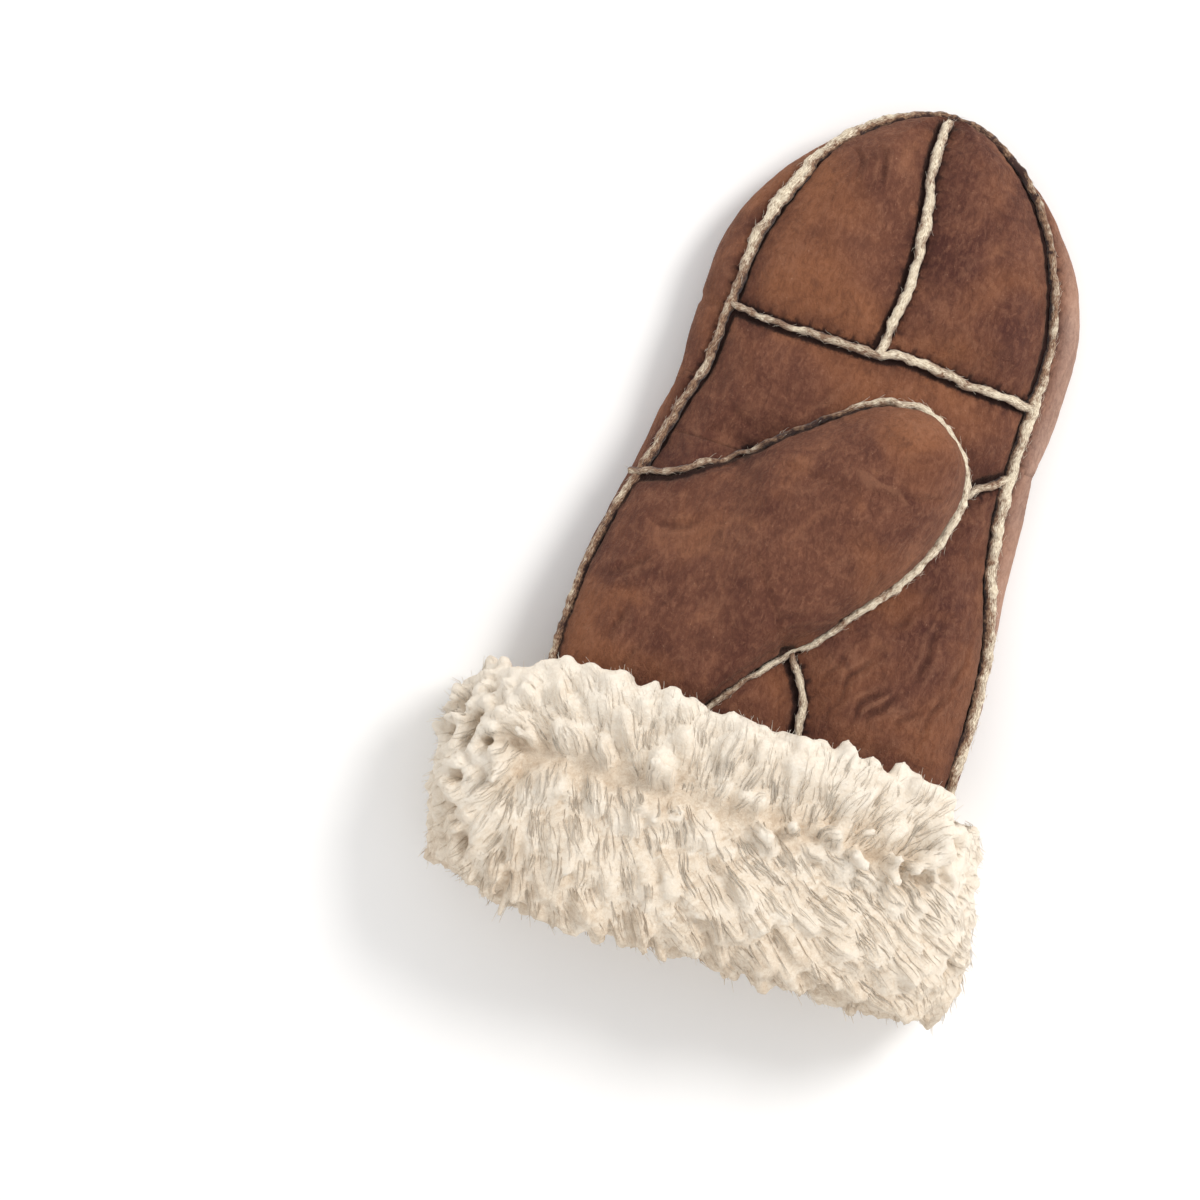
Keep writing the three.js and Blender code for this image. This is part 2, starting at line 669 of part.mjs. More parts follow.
// A ring of one profile, and a plug that fills everything inside a profile.
const cuffRing = (profile) =>
  loft(cuffTurns.map((turn) => profile.map(([y, offset]) => cuffPoint(y, offset, turn))), true);
const cuffPlug = (profile) =>
  loft(profile.map(([y, offset]) => cuffTurns.map((turn) => cuffPoint(y, offset, turn))));

const cuffTop = -SEAM_WIDTH / 2 - CLEARANCE;
const cuffLeather = cuffRing([
  [cuffTop, -LEATHER],
  ...foldArc(foldRadius),
  [-CUFF_HEM, CUFF_GAP + LEATHER],
  [-CUFF_HEM, CUFF_GAP],
  ...foldArc(CUFF_GAP / 2).reverse(),
  [-CUFF_HEM, 0],
  [cuffTop, 0],
]);

// What the outer fleece stays outside of, and what the fleece in the mouth stays inside of.
const REACH = 40;
const outerPlug = cuffPlug([
  [foldEnd - REACH, foldCentre.offset],
  ...foldArc(foldRadius + CLEARANCE, 0.5, 1),
  [-CUFF_HEM + CLEARANCE, outerFace],
  [-CUFF_HEM + 2 * CLEARANCE, CLEARANCE],
  [REACH, CLEARANCE],
]);
const innerPlug = cuffPlug([
  [foldEnd - REACH, foldCentre.offset - CLEARANCE],
  ...foldArc(foldRadius + CLEARANCE, 0.5, 0),
  [0, -LEATHER - CLEARANCE],
  [REACH, -LEATHER - CLEARANCE],
]);
const floor = prism([
  new THREE.Vector2(-FAR, -FAR),
  new THREE.Vector2(FAR, -FAR),
  new THREE.Vector2(FAR, FAR),
  new THREE.Vector2(-FAR, FAR),
]).translate(0, 0, -FAR);

// A repeatable spread of numbers from 0 to 1, for the locks.
function scatter(seed) {
  const value = Math.sin(seed * 127.1 + 311.7) * 43758.5453;
  return value - Math.floor(value);
}

// One lock of fleece: a flat tapered tuft that bends over towards its lean.
function lock(root, out, lean, length) {
  const fingers = new THREE.Vector3(0, 1, 0);
  const beside = out.clone().cross(fingers).normalize();
  const corners = [
    [1, 0],
    [0, 1],
    [-1, 0],
    [0, -1],
  ];
  const rings = [
    { share: -0.2, wide: 1 },
    { share: 0.5, wide: 0.85 },
    { share: 1, wide: 0.2 },
  ].map(({ share, wide }) => {
    const bend = lean * (0.6 + 0.4 * Math.max(share, 0));
    const ahead = out.clone().multiplyScalar(Math.cos(bend)).addScaledVector(fingers, Math.sin(bend));
    const lift = ahead.clone().cross(beside).normalize();
    const centre = root.clone().addScaledVector(ahead, share * length);
    return corners.map(([b, n]) =>
      centre
        .clone()
        .addScaledVector(beside, (b * wide * LOCK_WIDTH) / 2)
        .addScaledVector(lift, (n * wide * LOCK_THICKNESS) / 2),
    );
  });
  return loft(rings);
}

// A value at a turn round the cuff, from the values on its faces and at its two ends.
function roundCuff(turn, face, left, right) {
  const end = smoothstep(Math.abs(Math.cos(turn)), END_FROM, END_TO);
  return lerp(face, Math.cos(turn) > 0 ? right : left, end);
}

// Rows of locks. rootAt gives a root's place and offset, and sign is 1 outside and -1 inside.
function locks(rows, rootAt, sign, lockLength) {
  const made = rows.flatMap(({ along, lean, left, right, length, count }, row) =>
    steps(count - 1).map((_, i) => {
      const seed = row * 100 + i;
      const turn = ((i + 0.5 * (row % 2) + 0.3 * scatter(seed)) / count) * 2 * Math.PI;
      const { y, offset } = rootAt(along, turn);
      const out = outward(y, turn).multiplyScalar(sign);
      const long = lockLength * length * (0.85 + 0.3 * scatter(seed + 0.5));
      return lock(cuffPoint(y, offset, turn), out, degToRad(roundCuff(turn, lean, left, right)), long);
    }),
  );
  return wasm.Manifold.union(made);
}

// The outer fleece is thick over the fold, and ends in a lip over the hem. Its face stands up in
// tufts, which are staggered from row to row.
const TUFT_ROWS = 5;
const TUFTS_ROUND = 18;
const tuftTurns = steps(2 * TUFTS_ROUND)
  .slice(0, -1)
  .map((share) => share * 2 * Math.PI);
function fleeceForm(along, turn) {
  const at = (name) => column(FLEECE_FORM, name, along);
  return roundCuff(turn, at(Math.sin(turn) > 0 ? "palm" : "back"), at("left"), at("right"));
}
const tuftedRing = (along, row) =>
  tuftTurns.map((turn, i) => {
    const form = fleeceForm(along, turn);
    const raised = (i + row) % 2 ? FLEECE_RELIEF * Math.min(form, 1) : 0;
    const y = lerp(-CUFF_HEM, foldCentre.y - FLEECE_BACKING / 2, along);
    return cuffPoint(y, outerFace + form * FLEECE_BACKING + raised, turn);
  });
const plainRing = (y, offset) => tuftTurns.map((turn) => cuffPoint(y, offset, turn));
const tuftedPlug = loft([
  plainRing(-CUFF_HEM + FLEECE_BACKING / 2, outerFace),
  ...steps(TUFT_ROWS).map(tuftedRing),
  plainRing(foldEnd - FLEECE_BACKING, foldCentre.offset + FLEECE_BACKING / 4),
]);
const outerRoot = (along, turn) => ({
  y: lerp(-CUFF_HEM, foldEnd - FLEECE_BACKING / 2, along),
  offset: lerp(outerFace, foldCentre.offset, along) + 0.7 * fleeceForm(along, turn) * FLEECE_BACKING,
});
const outerLocks = locks(FLEECE_ROWS, outerRoot, 1, LOCK_LENGTH);
const cuffFleece = tuftedPlug
  .add(outerLocks)
  .subtract(outerPlug)
  .subtract(floor)
  .subtract(allFatSeams);

// The fleece in the mouth lines the leather from the fold inwards.
const liningFace = -LEATHER - CLEARANCE;
const liningTop = LINING_DEPTH - CUFF_DEPTH;
const liningRoot = (along) => ({
  y: lerp(liningTop, foldCentre.y, along),
  offset: liningFace - LINING_BACKING / 2,
});
const liningLocks = locks(LINING_ROWS, liningRoot, -1, LINING_LOCK_LENGTH);
const mouthFleece = cuffPlug([
  [foldEnd - FLEECE_BACKING, outerFace],
  [liningTop, outerFace],
])
  .subtract(
    cuffPlug([
      [foldEnd - REACH, foldCentre.offset - LINING_BACKING / 2],
      [foldEnd - FLEECE_BACKING, foldCentre.offset - LINING_BACKING / 2],
      [foldCentre.y - LINING_BACKING, liningFace - LINING_BACKING],
      [REACH, liningFace - LINING_BACKING],
    ]),
  )
  .add(liningLocks)
  .intersect(innerPlug)
  .subtract(floor);

// The scene: one named mesh for each piece.
function meshOf(name, solid, material) {
  const { vertProperties, triVerts } = solid.getMesh();
  const geometry = new THREE.BufferGeometry()
    .setAttribute("position", new THREE.BufferAttribute(vertProperties, 3))
    .setIndex(new THREE.BufferAttribute(triVerts, 1));
  geometry.computeVertexNormals();
  const mesh = new THREE.Mesh(geometry, material);
  mesh.name = name;
  return mesh;
}
const handGroup = new THREE.Group();
for (const [name, solid] of Object.entries(panels)) handGroup.add(meshOf(name, solid, LEATHER_FINISH));
const seamGroup = new THREE.Group();
for (const [name, solid] of Object.entries(seams)) seamGroup.add(meshOf(name, solid, SEAM_FINISH));
const cuffGroup = new THREE.Group();
cuffGroup.add(meshOf("cuff_leather", cuffLeather, CUFF_FINISH));
cuffGroup.add(meshOf("cuff_fleece", largest(cuffFleece), FLEECE_FINISH));
cuffGroup.add(meshOf("mouth_fleece", largest(mouthFleece), FLEECE_FINISH));

// The origin is under the middle of the mitten, on the surface that it lies on.
const mitten = new THREE.Group();
mitten.add(handGroup, seamGroup, cuffGroup);
const bounds = new THREE.Box3().setFromObject(mitten);
const middle = bounds.getCenter(new THREE.Vector3());
mitten.position.set(-middle.x, -middle.y, -bounds.min.z);

export default mitten;
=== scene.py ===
# A sheepskin mitten for the left hand, dressed and lit. It lies on its back with the palm up.
# Lengths are millimetres with y = 0 at the cuff's seam, and become metres when a mesh is made.
import math
from types import SimpleNamespace

import bpy
import numpy as np
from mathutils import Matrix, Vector, kdtree


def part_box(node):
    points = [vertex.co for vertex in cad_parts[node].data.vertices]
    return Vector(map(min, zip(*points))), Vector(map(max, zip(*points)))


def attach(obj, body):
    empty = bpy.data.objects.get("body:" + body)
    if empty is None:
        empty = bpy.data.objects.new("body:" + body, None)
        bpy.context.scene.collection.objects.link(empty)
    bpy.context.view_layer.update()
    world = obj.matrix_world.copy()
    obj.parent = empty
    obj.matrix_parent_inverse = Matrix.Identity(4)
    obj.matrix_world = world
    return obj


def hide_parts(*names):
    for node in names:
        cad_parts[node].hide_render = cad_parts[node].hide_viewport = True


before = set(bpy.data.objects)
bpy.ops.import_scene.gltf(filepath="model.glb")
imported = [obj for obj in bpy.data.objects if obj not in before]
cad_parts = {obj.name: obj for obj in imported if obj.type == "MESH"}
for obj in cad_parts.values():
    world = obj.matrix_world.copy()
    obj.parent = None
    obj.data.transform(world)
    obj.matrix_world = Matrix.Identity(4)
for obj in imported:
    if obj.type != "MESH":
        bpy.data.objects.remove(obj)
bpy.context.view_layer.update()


def table(names, *rows):
    """Rows of values with named columns."""
    return [dict(zip(names.split(), row)) for row in rows]


# Sizes of the mitten, as in the solids.
HAND_LENGTH = 202.5
HAND_WIDTH = 114
HAND_THICKNESS = 36
TIP_LENGTH = 65.5
LEATHER = 1.6
THUMB_LENGTH = 65
THUMB_WIDTH = 60
THUMB_THICKNESS = 19
THUMB_ANGLE = 45
THUMB_LIFT = 2.8
PALM_GAP = 0.5
SEAM_WIDTH = 2.4
VALLEY_DEPTH = 2.8
VALLEY_REACH = 16
CUFF_DEPTH = 52
CUFF_HEM = 3
CUFF_GAP = 1.5
CLEARANCE = 0.3
FLEECE_BACKING = 8
LINING_BACKING = 3.5
LINING_DEPTH = 46
PALM_ROUNDNESS = 2.3
BACK_ROUNDNESS = 2.7
TIP_ROUNDNESS = 1.75
TIP_SIDE_ROUNDNESS = 2.3

# The lowest places of what rests on the floor.
LEATHER_LOWEST = 0.15
INNER_LOWEST = 0.3
SEAM_LOWEST = 0.1
WOOL_LOWEST = 0.12
BACKING_LOWEST = 0.2

# Sections of the hand: along is a share of its length, left and right of its width, and low,
# side and high of its thickness.
SECTIONS = table(
    "along left right low side high",
    (-0.28, -0.605, 0.58, 0.33, 0.8, 1.27),
    (-0.1, -0.597, 0.572, 0.3, 0.77, 1.25),
    (0.0, -0.592, 0.567, 0.26, 0.72, 1.22),
    (0.16, -0.592, 0.568, 0.12, 0.58, 1.1),
    (0.26, -0.57, 0.553, 0.02, 0.5, 1.02),
    (0.36, -0.532, 0.525, -0.06, 0.45, 0.98),
    (0.46, -0.502, 0.512, -0.09, 0.43, 0.98),
    (0.61, -0.487, 0.513, -0.1, 0.42, 1.0),
    (0.8, -0.482, 0.51, -0.08, 0.42, 0.96),
    (1.0, -0.482, 0.51, 0.04, 0.42, 0.88),
)
# Where the side seam lies on the palm side, as shares of the half width.
SIDE_SEAM = table(
    "along left right",
    (0.0, -0.985, 0.985),
    (0.26, -0.982, 0.966),
    (0.36, -0.96, 0.915),
    (0.46, -0.93, 0.88),
    (0.53, -0.878, 0.872),
    (0.81, -0.88, 0.875),
    (0.91, -0.955, 0.925),
    (1.0, -0.99, 0.99),
)
# Routes of the other seams, as shares along the hand and across its half width.
PALM_CENTRE = [(0.985, -0.16), (0.91, -0.08), (0.81, 0.01), (0.71, 0.015), (0.614, -0.025)]
PALM_CROSS = [
    (0.621, -0.875), (0.614, -0.67), (0.613, -0.33), (0.614, -0.025),
    (0.621, 0.13), (0.613, 0.46), (0.61, 0.868),
]
PALM_LOW_CROSS = [
    (0.496, 0.872), (0.474, 0.74), (0.447, 0.63), (0.415, 0.39), (0.4, 0.0), (0.415, -0.48),
]
BACK_CENTRE = [
    (0.985, -0.35), (0.88, -0.2), (0.74, -0.17), (0.6, -0.08),
    (0.45, -0.03), (0.15, -0.02), (0.0, 0.0),
]
BACK_CROSS_LEFT = [(0.595, -0.08), (0.575, -0.35), (0.54, -0.7), (0.5, -0.985)]
BACK_CROSS_RIGHT = [(0.592, -0.08), (0.582, 0.3), (0.56, 0.65), (0.51, 0.985)]

# The thumb's root and outline: out along the thumb, and aside towards the fingers.
THUMB_ROOT = (0.283, -0.2)
THUMB_UPPER_BASE = [(0.338, -0.962), (0.357, -0.78), (0.388, -0.625)]
THUMB_UPPER = [
    (0.12, 0.495), (0.37, 0.48), (0.57, 0.455), (0.755, 0.415),
    (0.89, 0.33), (0.965, 0.225), (1.0, 0.055),
]
THUMB_LOWER = [
    (0.985, -0.08), (0.91, -0.215), (0.8, -0.3), (0.66, -0.38),
    (0.5, -0.435), (0.2, -0.485), (0.0, -0.51), (-0.11, -0.5),
]
THUMB_LOWER_BASE = [(0.1, -0.085), (0.045, -0.205), (0.0, -0.33)]
THUMB_CROWN = table(
    "along crown",
    (0, 0), (0.2, 0.3), (0.4, 0.72), (0.6, 1), (0.8, 0.98), (0.92, 0.72), (1, 0.3),
)
CROWN_WIDTH = 2.2
CROWN_FULLNESS = 0.55
# From where on the thumb's edges are free of the palm, as shares of their lengths.
FREE_UPPER = 0.3
FREE_LOWER = 0.54
FREE_RAMP = 0.12
WEDGE_START = 0.49
WEDGE_SEAM = [(0, 0), (0.23, 0.08), (0.48, 0.13), (1, 0.155)]

# The mitten's own frame stands in the solids' frame where the cuff's seam is.
seam_low, seam_high = (np.array(corner) * 1000 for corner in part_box("cuff_seam"))
cuff_centre = (SECTIONS[2]["left"] + SECTIONS[2]["right"]) / 2 * HAND_WIDTH
seam_middle = (seam_low + seam_high) / 2
ORIGIN = np.array([seam_middle[0] - cuff_centre, seam_middle[1], 0])
rng = np.random.default_rng(7)


def smoothstep(value, low, high):
    share = np.clip((value - low) / (high - low), 0, 1)
    return share * share * (3 - 2 * share)


def powered(value, power):
    return np.sign(value) * np.abs(value) ** power


def unit(vectors):
    return vectors / np.maximum(np.linalg.norm(vectors, axis=-1, keepdims=True), 1e-9)


def noise(points, size, seed):
    """Smooth noise from -1 to 1 with lumps of about a size, at points in its last axis."""
    at = points / size
    cell = np.floor(at)
    part = at - cell
    part = part * part * (3 - 2 * part)
    total = np.zeros(points.shape[:-1])
    for corner in np.ndindex(2, 2, 2):
        share = np.prod(np.where(np.array(corner) == 1, part, 1 - part), axis=-1)
        x, y, z = np.moveaxis(cell + corner, -1, 0)
        value = np.sin(x * 127.1 + y * 311.7 + z * 74.7 + seed * 53.3) * 43758.5453
        total += share * (value - np.floor(value))
    return 2 * total - 1


def uneven(points, lumps, seed):
    """Noise of several heights and sizes."""
    return sum(height * noise(points, size, seed + i) for i, (height, size) in enumerate(lumps))


def above_floor(points, lowest):
    """Keeps points above the floor."""
    points[..., 2] = np.maximum(points[..., 2], lowest)


def tree_of(points):
    """A search tree of points."""
    tree = kdtree.KDTree(len(points))
    for i, point in enumerate(points):
        tree.insert(point, i)
    tree.balance()
    return tree


def nearest_in(tree, points):
    """Which point of a tree is the nearest to each of some points."""
    return np.array([tree.find(point)[1] for point in points])


def eased(start, rise, leave, arrive, t):
    """A smooth curve from start by rise, with a slope where it leaves and where it arrives."""
    bend = leave + arrive - 2 * rise
    return start + t * (leave + t * (3 * rise - 2 * leave - arrive + t * bend))


# The form of the hand.
def column(rows, name, at):
    """A named column's value at a place along, on a smooth curve through the rows."""
    places = np.array([row["along"] for row in rows], float)
    values = np.array([row[name] for row in rows], float)
    slopes = np.empty(len(rows))
    slopes[1:-1] = (values[2:] - values[:-2]) / (places[2:] - places[:-2])
    slopes[0] = (values[1] - values[0]) / (places[1] - places[0])
    slopes[-1] = (values[-1] - values[-2]) / (places[-1] - places[-2])
    at = np.clip(at, places[0], places[-1])
    i = np.clip(np.searchsorted(places, at) - 1, 0, len(rows) - 2)
    span = places[i + 1] - places[i]
    t = (at - places[i]) / span
    return eased(values[i], values[i + 1] - values[i], slopes[i] * span, slopes[i + 1] * span, t)


def section(y, inset=0.0):
    """The hand's section at y: its centre, half width and heights."""
    along = y / HAND_LENGTH
    left = column(SECTIONS, "left", along) * HAND_WIDTH
    right = column(SECTIONS, "right", along) * HAND_WIDTH
    low = column(SECTIONS, "low", along) * HAND_THICKNESS
    side = column(SECTIONS, "side", along) * HAND_THICKNESS
    high = column(SECTIONS, "high", along) * HAND_THICKNESS
    into = np.clip((y - HAND_LENGTH + TIP_LENGTH) / (TIP_LENGTH - inset), 0, 1)
    narrow = (1 - into**TIP_ROUNDNESS) ** (1 / TIP_ROUNDNESS)
    thin = (1 - into**TIP_SIDE_ROUNDNESS) ** (1 / TIP_SIDE_ROUNDNESS)
    return SimpleNamespace(
        centre=(left + right) / 2,
        half=((right - left) / 2 - inset) * narrow,
        side=side,
        rise=(high - side - inset) * thin,
        drop=(side - low - inset) * thin,
    )


def smooth_skin(y, turn, inset=0.0):
    """Points of the hand's smooth surface. turn is 0 at the right edge and goes over the palm."""
    y, turn, inset = np.broadcast_arrays(y, turn, inset)
    at = section(y, inset)
    upper = np.sin(turn) >= 0
    power = 2 / np.where(upper, PALM_ROUNDNESS, BACK_ROUNDNESS)
    x = at.centre + at.half * powered(np.cos(turn), power)
    z = at.side + np.where(upper, at.rise, at.drop) * powered(np.sin(turn), power)
    return np.stack([x, y, np.maximum(z, inset)], axis=-1)


# Just short of the hand's tip, where its surface closes.
NEAR_TIP = 0.998
NUDGE = 0.01


def outward(y, turn):
    """Directions out of the hand's surface."""
    near = np.minimum(y, HAND_LENGTH * NEAR_TIP)
    across = smooth_skin(near, turn + NUDGE) - smooth_skin(near, turn - NUDGE)
    along = smooth_skin(near + NUDGE, turn) - smooth_skin(near - NUDGE, turn)
    return unit(np.cross(along, across))


def turn_of(across, face):
    """The turn of a place across the palm, face 1, or the back, face -1."""
    roundness = PALM_ROUNDNESS if face > 0 else BACK_ROUNDNESS
    return face * np.arccos(powered(np.clip(across, -1, 1), roundness / 2))


def palm_height(x, y):
    at = section(np.minimum(y, HAND_LENGTH * 0.99))
    across = np.minimum(np.abs((x - at.centre) / np.maximum(at.half, 0.01)), 0.995)
    return at.side + at.rise * (1 - across**PALM_ROUNDNESS) ** (1 / PALM_ROUNDNESS)


def smooth_line(points, density=40):
    """A dense line on a smooth curve through a few points."""
    points = np.array(points, float)
    last = len(points) - 1
    at = np.linspace(0, last, last * density + 1)
    i = np.minimum(at.astype(int), last - 1)
    t = (at - i)[:, None]
    before = points[np.maximum(i - 1, 0)]
    start, end = points[i], points[i + 1]
    after = points[np.minimum(i + 2, last)]
    return eased(start, end - start, (end - before) / 2, (after - start) / 2, t)


def lengths_of(line):
    steps = np.linalg.norm(np.diff(line, axis=0), axis=-1)
    return np.concatenate([[0], np.cumsum(steps)])


def on_line(line, share):
    """Points at shares of a line's length."""
    lengths = lengths_of(line)
    at = np.asarray(share) * lengths[-1]
    return np.stack([np.interp(at, lengths, line[:, k]) for k in range(line.shape[1])], axis=-1)


# The form of the thumb.
def plan_of(place):
    along, across = place
    y = along * HAND_LENGTH
    at = section(np.array(y, float))
    return np.array([at.centre + across * at.half, y])


def thumb_plan(place):
    out, aside = place
    angle = math.radians(THUMB_ANGLE)
    ahead = np.array([math.cos(angle), math.sin(angle)])
    beside = np.array([-ahead[1], ahead[0]])
    return plan_of(THUMB_ROOT) + out * THUMB_LENGTH * ahead + aside * THUMB_WIDTH * beside


upper_edge = smooth_line(
    [plan_of(p) for p in THUMB_UPPER_BASE] + [thumb_plan(p) for p in THUMB_UPPER]
)
# The thumb panel's lower left corner is on the side seam, at the cuff.
PANEL_CORNER = (0, -0.985)
lower_edge = smooth_line(
    [plan_of(PANEL_CORNER), plan_of((0, -0.65))]
    + [plan_of(p) for p in reversed(THUMB_LOWER_BASE)]
    + [thumb_plan(p) for p in reversed(THUMB_LOWER)]
    + [thumb_plan(THUMB_UPPER[-1])]
)
corner_length = np.linalg.norm(plan_of(THUMB_LOWER_BASE[-1]) - plan_of(PANEL_CORNER))
LOWER_CORNER = corner_length / lengths_of(lower_edge)[-1]


def place_of(plan):
    at = section(plan[..., 1])
    return np.stack([plan[..., 1] / HAND_LENGTH, (plan[..., 0] - at.centre) / at.half], axis=-1)


wedge_top = place_of(on_line(lower_edge, WEDGE_START))
wedge_route = [(wedge_top[0] * (1 - down), wedge_top[1] + aside) for down, aside in WEDGE_SEAM]


def thumb_lift(along, across):
    low = smoothstep(along, FREE_LOWER, FREE_LOWER + FREE_RAMP)
    high = smoothstep(along, FREE_UPPER, FREE_UPPER + FREE_RAMP)
    return THUMB_LIFT * (low + (high - low) * across)


def thumb_skin(along, across):
    """Points of the thumb's upper surface, along it and across it from its lower edge."""
    low = on_line(lower_edge, along)
    high = on_line(upper_edge, along)
    plan = low + (high - low) * np.asarray(across)[..., None]
    bulge = (1 - np.abs(2 * across - 1) ** CROWN_WIDTH) ** CROWN_FULLNESS
    crown = column(THUMB_CROWN, "crown", along) * THUMB_THICKNESS * bulge
    lift = thumb_lift(along, across)
    z = palm_height(plan[..., 0], plan[..., 1]) + lift + crown
    top = np.concatenate([plan, z[..., None]], axis=-1)
    dent = valley(top) * (1 - lift / THUMB_LIFT)
    return top - dent[..., None] * np.array([0, 0, 1])


# The seams, as lines of stations: points, directions out, and directions ahead.
SEAM_STEP = 0.6


def spaced(points, outs, step=SEAM_STEP):
    lengths = lengths_of(points)
    count = max(4, round(lengths[-1] / step))
    share = np.linspace(0, 1, count)
    at = on_line(points, share)
    out = np.stack(
        [np.interp(share * lengths[-1], lengths, outs[:, k]) for k in range(3)], axis=-1
    )
    ahead = unit(np.gradient(at, axis=0))
    return SimpleNamespace(at=at, out=unit(out), ahead=ahead, run=share * lengths[-1])


def skin_route(route, face):
    line = smooth_line(route)
    y = line[:, 0] * HAND_LENGTH
    turn = turn_of(line[:, 1], face)
    return spaced(smooth_skin(y, turn), outward(y, turn))


def side_route():
    along = NEAR_TIP * np.sin(np.linspace(0, np.pi / 2, 300))
    halves = []
    for name in ("left", "right"):
        y = along * HAND_LENGTH
        turn = turn_of(column(SIDE_SEAM, name, along), 1)
        halves.append((smooth_skin(y, turn), outward(y, turn)))
    (left, left_out), (right, right_out) = halves
    return spaced(np.concatenate([left, right[::-1]]), np.concatenate([left_out, right_out[::-1]]))


def cuff_route():
    turn = np.linspace(0, 2 * np.pi, 400)
    return spaced(smooth_skin(0.0, turn), outward(0.0, turn))


skin_seams = {
    "side_seam": side_route(),
    "palm_cross_seam": skin_route(PALM_CROSS, 1),
    "palm_centre_seam": skin_route(PALM_CENTRE, 1),
    "palm_low_cross_seam": skin_route(PALM_LOW_CROSS, 1),
    "thumb_base_seam": skin_route(wedge_route, 1),
    "back_centre_seam": skin_route(BACK_CENTRE, -1),
    "back_cross_seam_left": skin_route(BACK_CROSS_LEFT, -1),
    "back_cross_seam_right": skin_route(BACK_CROSS_RIGHT, -1),
    "cuff_seam": cuff_route(),
}


class Nearest:
    """Finds the nearest station of some seams, and tells how far and on which side it is."""

    def __init__(self, seams):
        self.at = np.concatenate([s.at for s in seams])
        self.beside = np.concatenate([unit(np.cross(s.ahead, s.out)) for s in seams])
        self.run = np.concatenate([s.run for s in seams])
        self.tree = tree_of(self.at)

    def find(self, points):
        flat = points.reshape(-1, 3)
        found = np.array([self.tree.find(p)[1:] for p in flat])
        which = found[:, 0].astype(int)
        side = np.sum((flat - self.at[which]) * self.beside[which], axis=-1)
        shape = points.shape[:-1]
        return SimpleNamespace(
            far=found[:, 1].reshape(shape),
            side=side.reshape(shape),
            run=self.run[which].reshape(shape),
        )


near_skin_seams = Nearest(list(skin_seams.values()))


def valley_at(far):
    return VALLEY_DEPTH * np.maximum(0, 1 - (far / VALLEY_REACH) ** 2) ** 2


def valley(points):
    return valley_at(near_skin_seams.find(points).far)


THUMB_END = 0.985


def thumb_stations():
    """The thumb's seam runs round its edge, from the side seam to the cuff's seam."""
    points, outs = [], []
    for edge, across, start in ((upper_edge, 1.0, 0.0), (lower_edge, 0.0, LOWER_CORNER)):
        along = np.linspace(start, THUMB_END, 220)
        ahead = unit(np.gradient(on_line(edge, along), axis=0))
        away = np.stack([ahead[:, 1], -ahead[:, 0], np.zeros(len(ahead))], axis=-1)
        if across > 0.5:
            away = -away
        lift = thumb_lift(along, across) / THUMB_LIFT
        points.append(thumb_skin(along, np.full(along.shape, across)))
        outs.append(unit(0.75 * lift[:, None] * away + np.array([0, 0, 1])))
    (upper, lower), (upper_out, lower_out) = points, outs
    return spaced(
        np.concatenate([upper, lower[::-1]]), np.concatenate([upper_out, lower_out[::-1]])
    )


thumb_seam = thumb_stations()
near_thumb_seam = Nearest([thumb_seam])

# Small relief of the leather: stitches pull it in beside the seams, and it has folds of its own.
STITCH_PITCH = 4.6
GROOVE_DEPTH = 0.9
GROOVE_REACH = 2.6
DITCH_DEPTH = 0.9
DITCH_PLACE = 2.1
DITCH_WIDTH = 0.9
PUCKER_DEPTH = 0.6
PUCKER_REACH = 4.0
# Short wrinkles that stand off the seams.
RAY_HEIGHT = 0.65
RAY_SIZE = 3.4
RAY_REACH = 7
# Unevenness of the leather: heights and sizes.
LUMPS = ((0.7, 26), (0.32, 11))
GRAIN = ((0.12, 4.5), (0.05, 2.0))
GRAIN_FROM_SEAM = 6
# What each crease's depth and width in the tables are multiplied by, how far it wanders to its
# sides, and how high the leather stands up beside it.
CREASE_SHARE = 1.4
CREASE_NARROW = 0.75
CREASE_WANDER = 1.3
CREASE_LIP = 0.3

# Creases by their ends in the mitten's plan, with how far they bow, how deep and how wide.
PALM_CREASES = table(
    "x y to_x to_y bow depth width",
    (22, 6, 36, 34, 2.0, 0.7, 1.3),
    (27, 2, 43, 40, 2.5, 0.6, 1.5),
    (17, 12, 30, 44, 1.5, 0.55, 1.2),
    (34, 4, 48, 30, 2.0, 0.6, 1.4),
    (12, 22, 26, 48, 1.5, 0.5, 1.1),
    (44, 8, 53, 36, 1.0, 0.6, 1.3),
    (40, 30, 47, 62, 1.5, 0.55, 1.4),
    (30, 46, 40, 66, 1.2, 0.5, 1.2),
    (50, 32, 54, 60, -1.0, 0.5, 1.4),
    (18, 50, 34, 70, 1.0, 0.45, 1.2),
    (-20, 187, -14, 172, 1.2, 0.5, 1.2),
    (-26, 183, -22, 170, 1.0, 0.45, 1.1),
    (-10, 190, -8, 178, 0.8, 0.4, 1.0),
    (8, 128, 14, 142, 1.0, 0.35, 1.2),
    (-40, 96, -22, 92, -1.5, 0.4, 1.5),
)
BACK_CREASES = table(
    "x y to_x to_y bow depth width",
    (-20, 150, -12, 110, 2.5, 0.9, 2.0),
    (-28, 142, -18, 112, 2.0, 0.7, 1.8),
    (-34, 130, -26, 104, 1.5, 0.6, 1.8),
    (20, 60, 34, 52, 2.0, 0.5, 2.2),
    (-40, 40, -22, 34, 2.0, 0.5, 2.2),
    (-12, 20, 8, 14, 2.0, 0.5, 2.0),
)
THUMB_CREASES = table(
    "x y to_x to_y bow depth width",
    (-52, 14, -44, 34, 2.0, 0.5, 1.6),
    (-44, 8, -38, 26, 2.0, 0.45, 1.5),
    (-58, 34, -44, 46, 2.0, 0.5, 1.7),
    (-6, 36, 6, 46, 1.0, 0.4, 1.4),
    (-50, 56, -34, 62, -1.5, 0.45, 1.6),
)


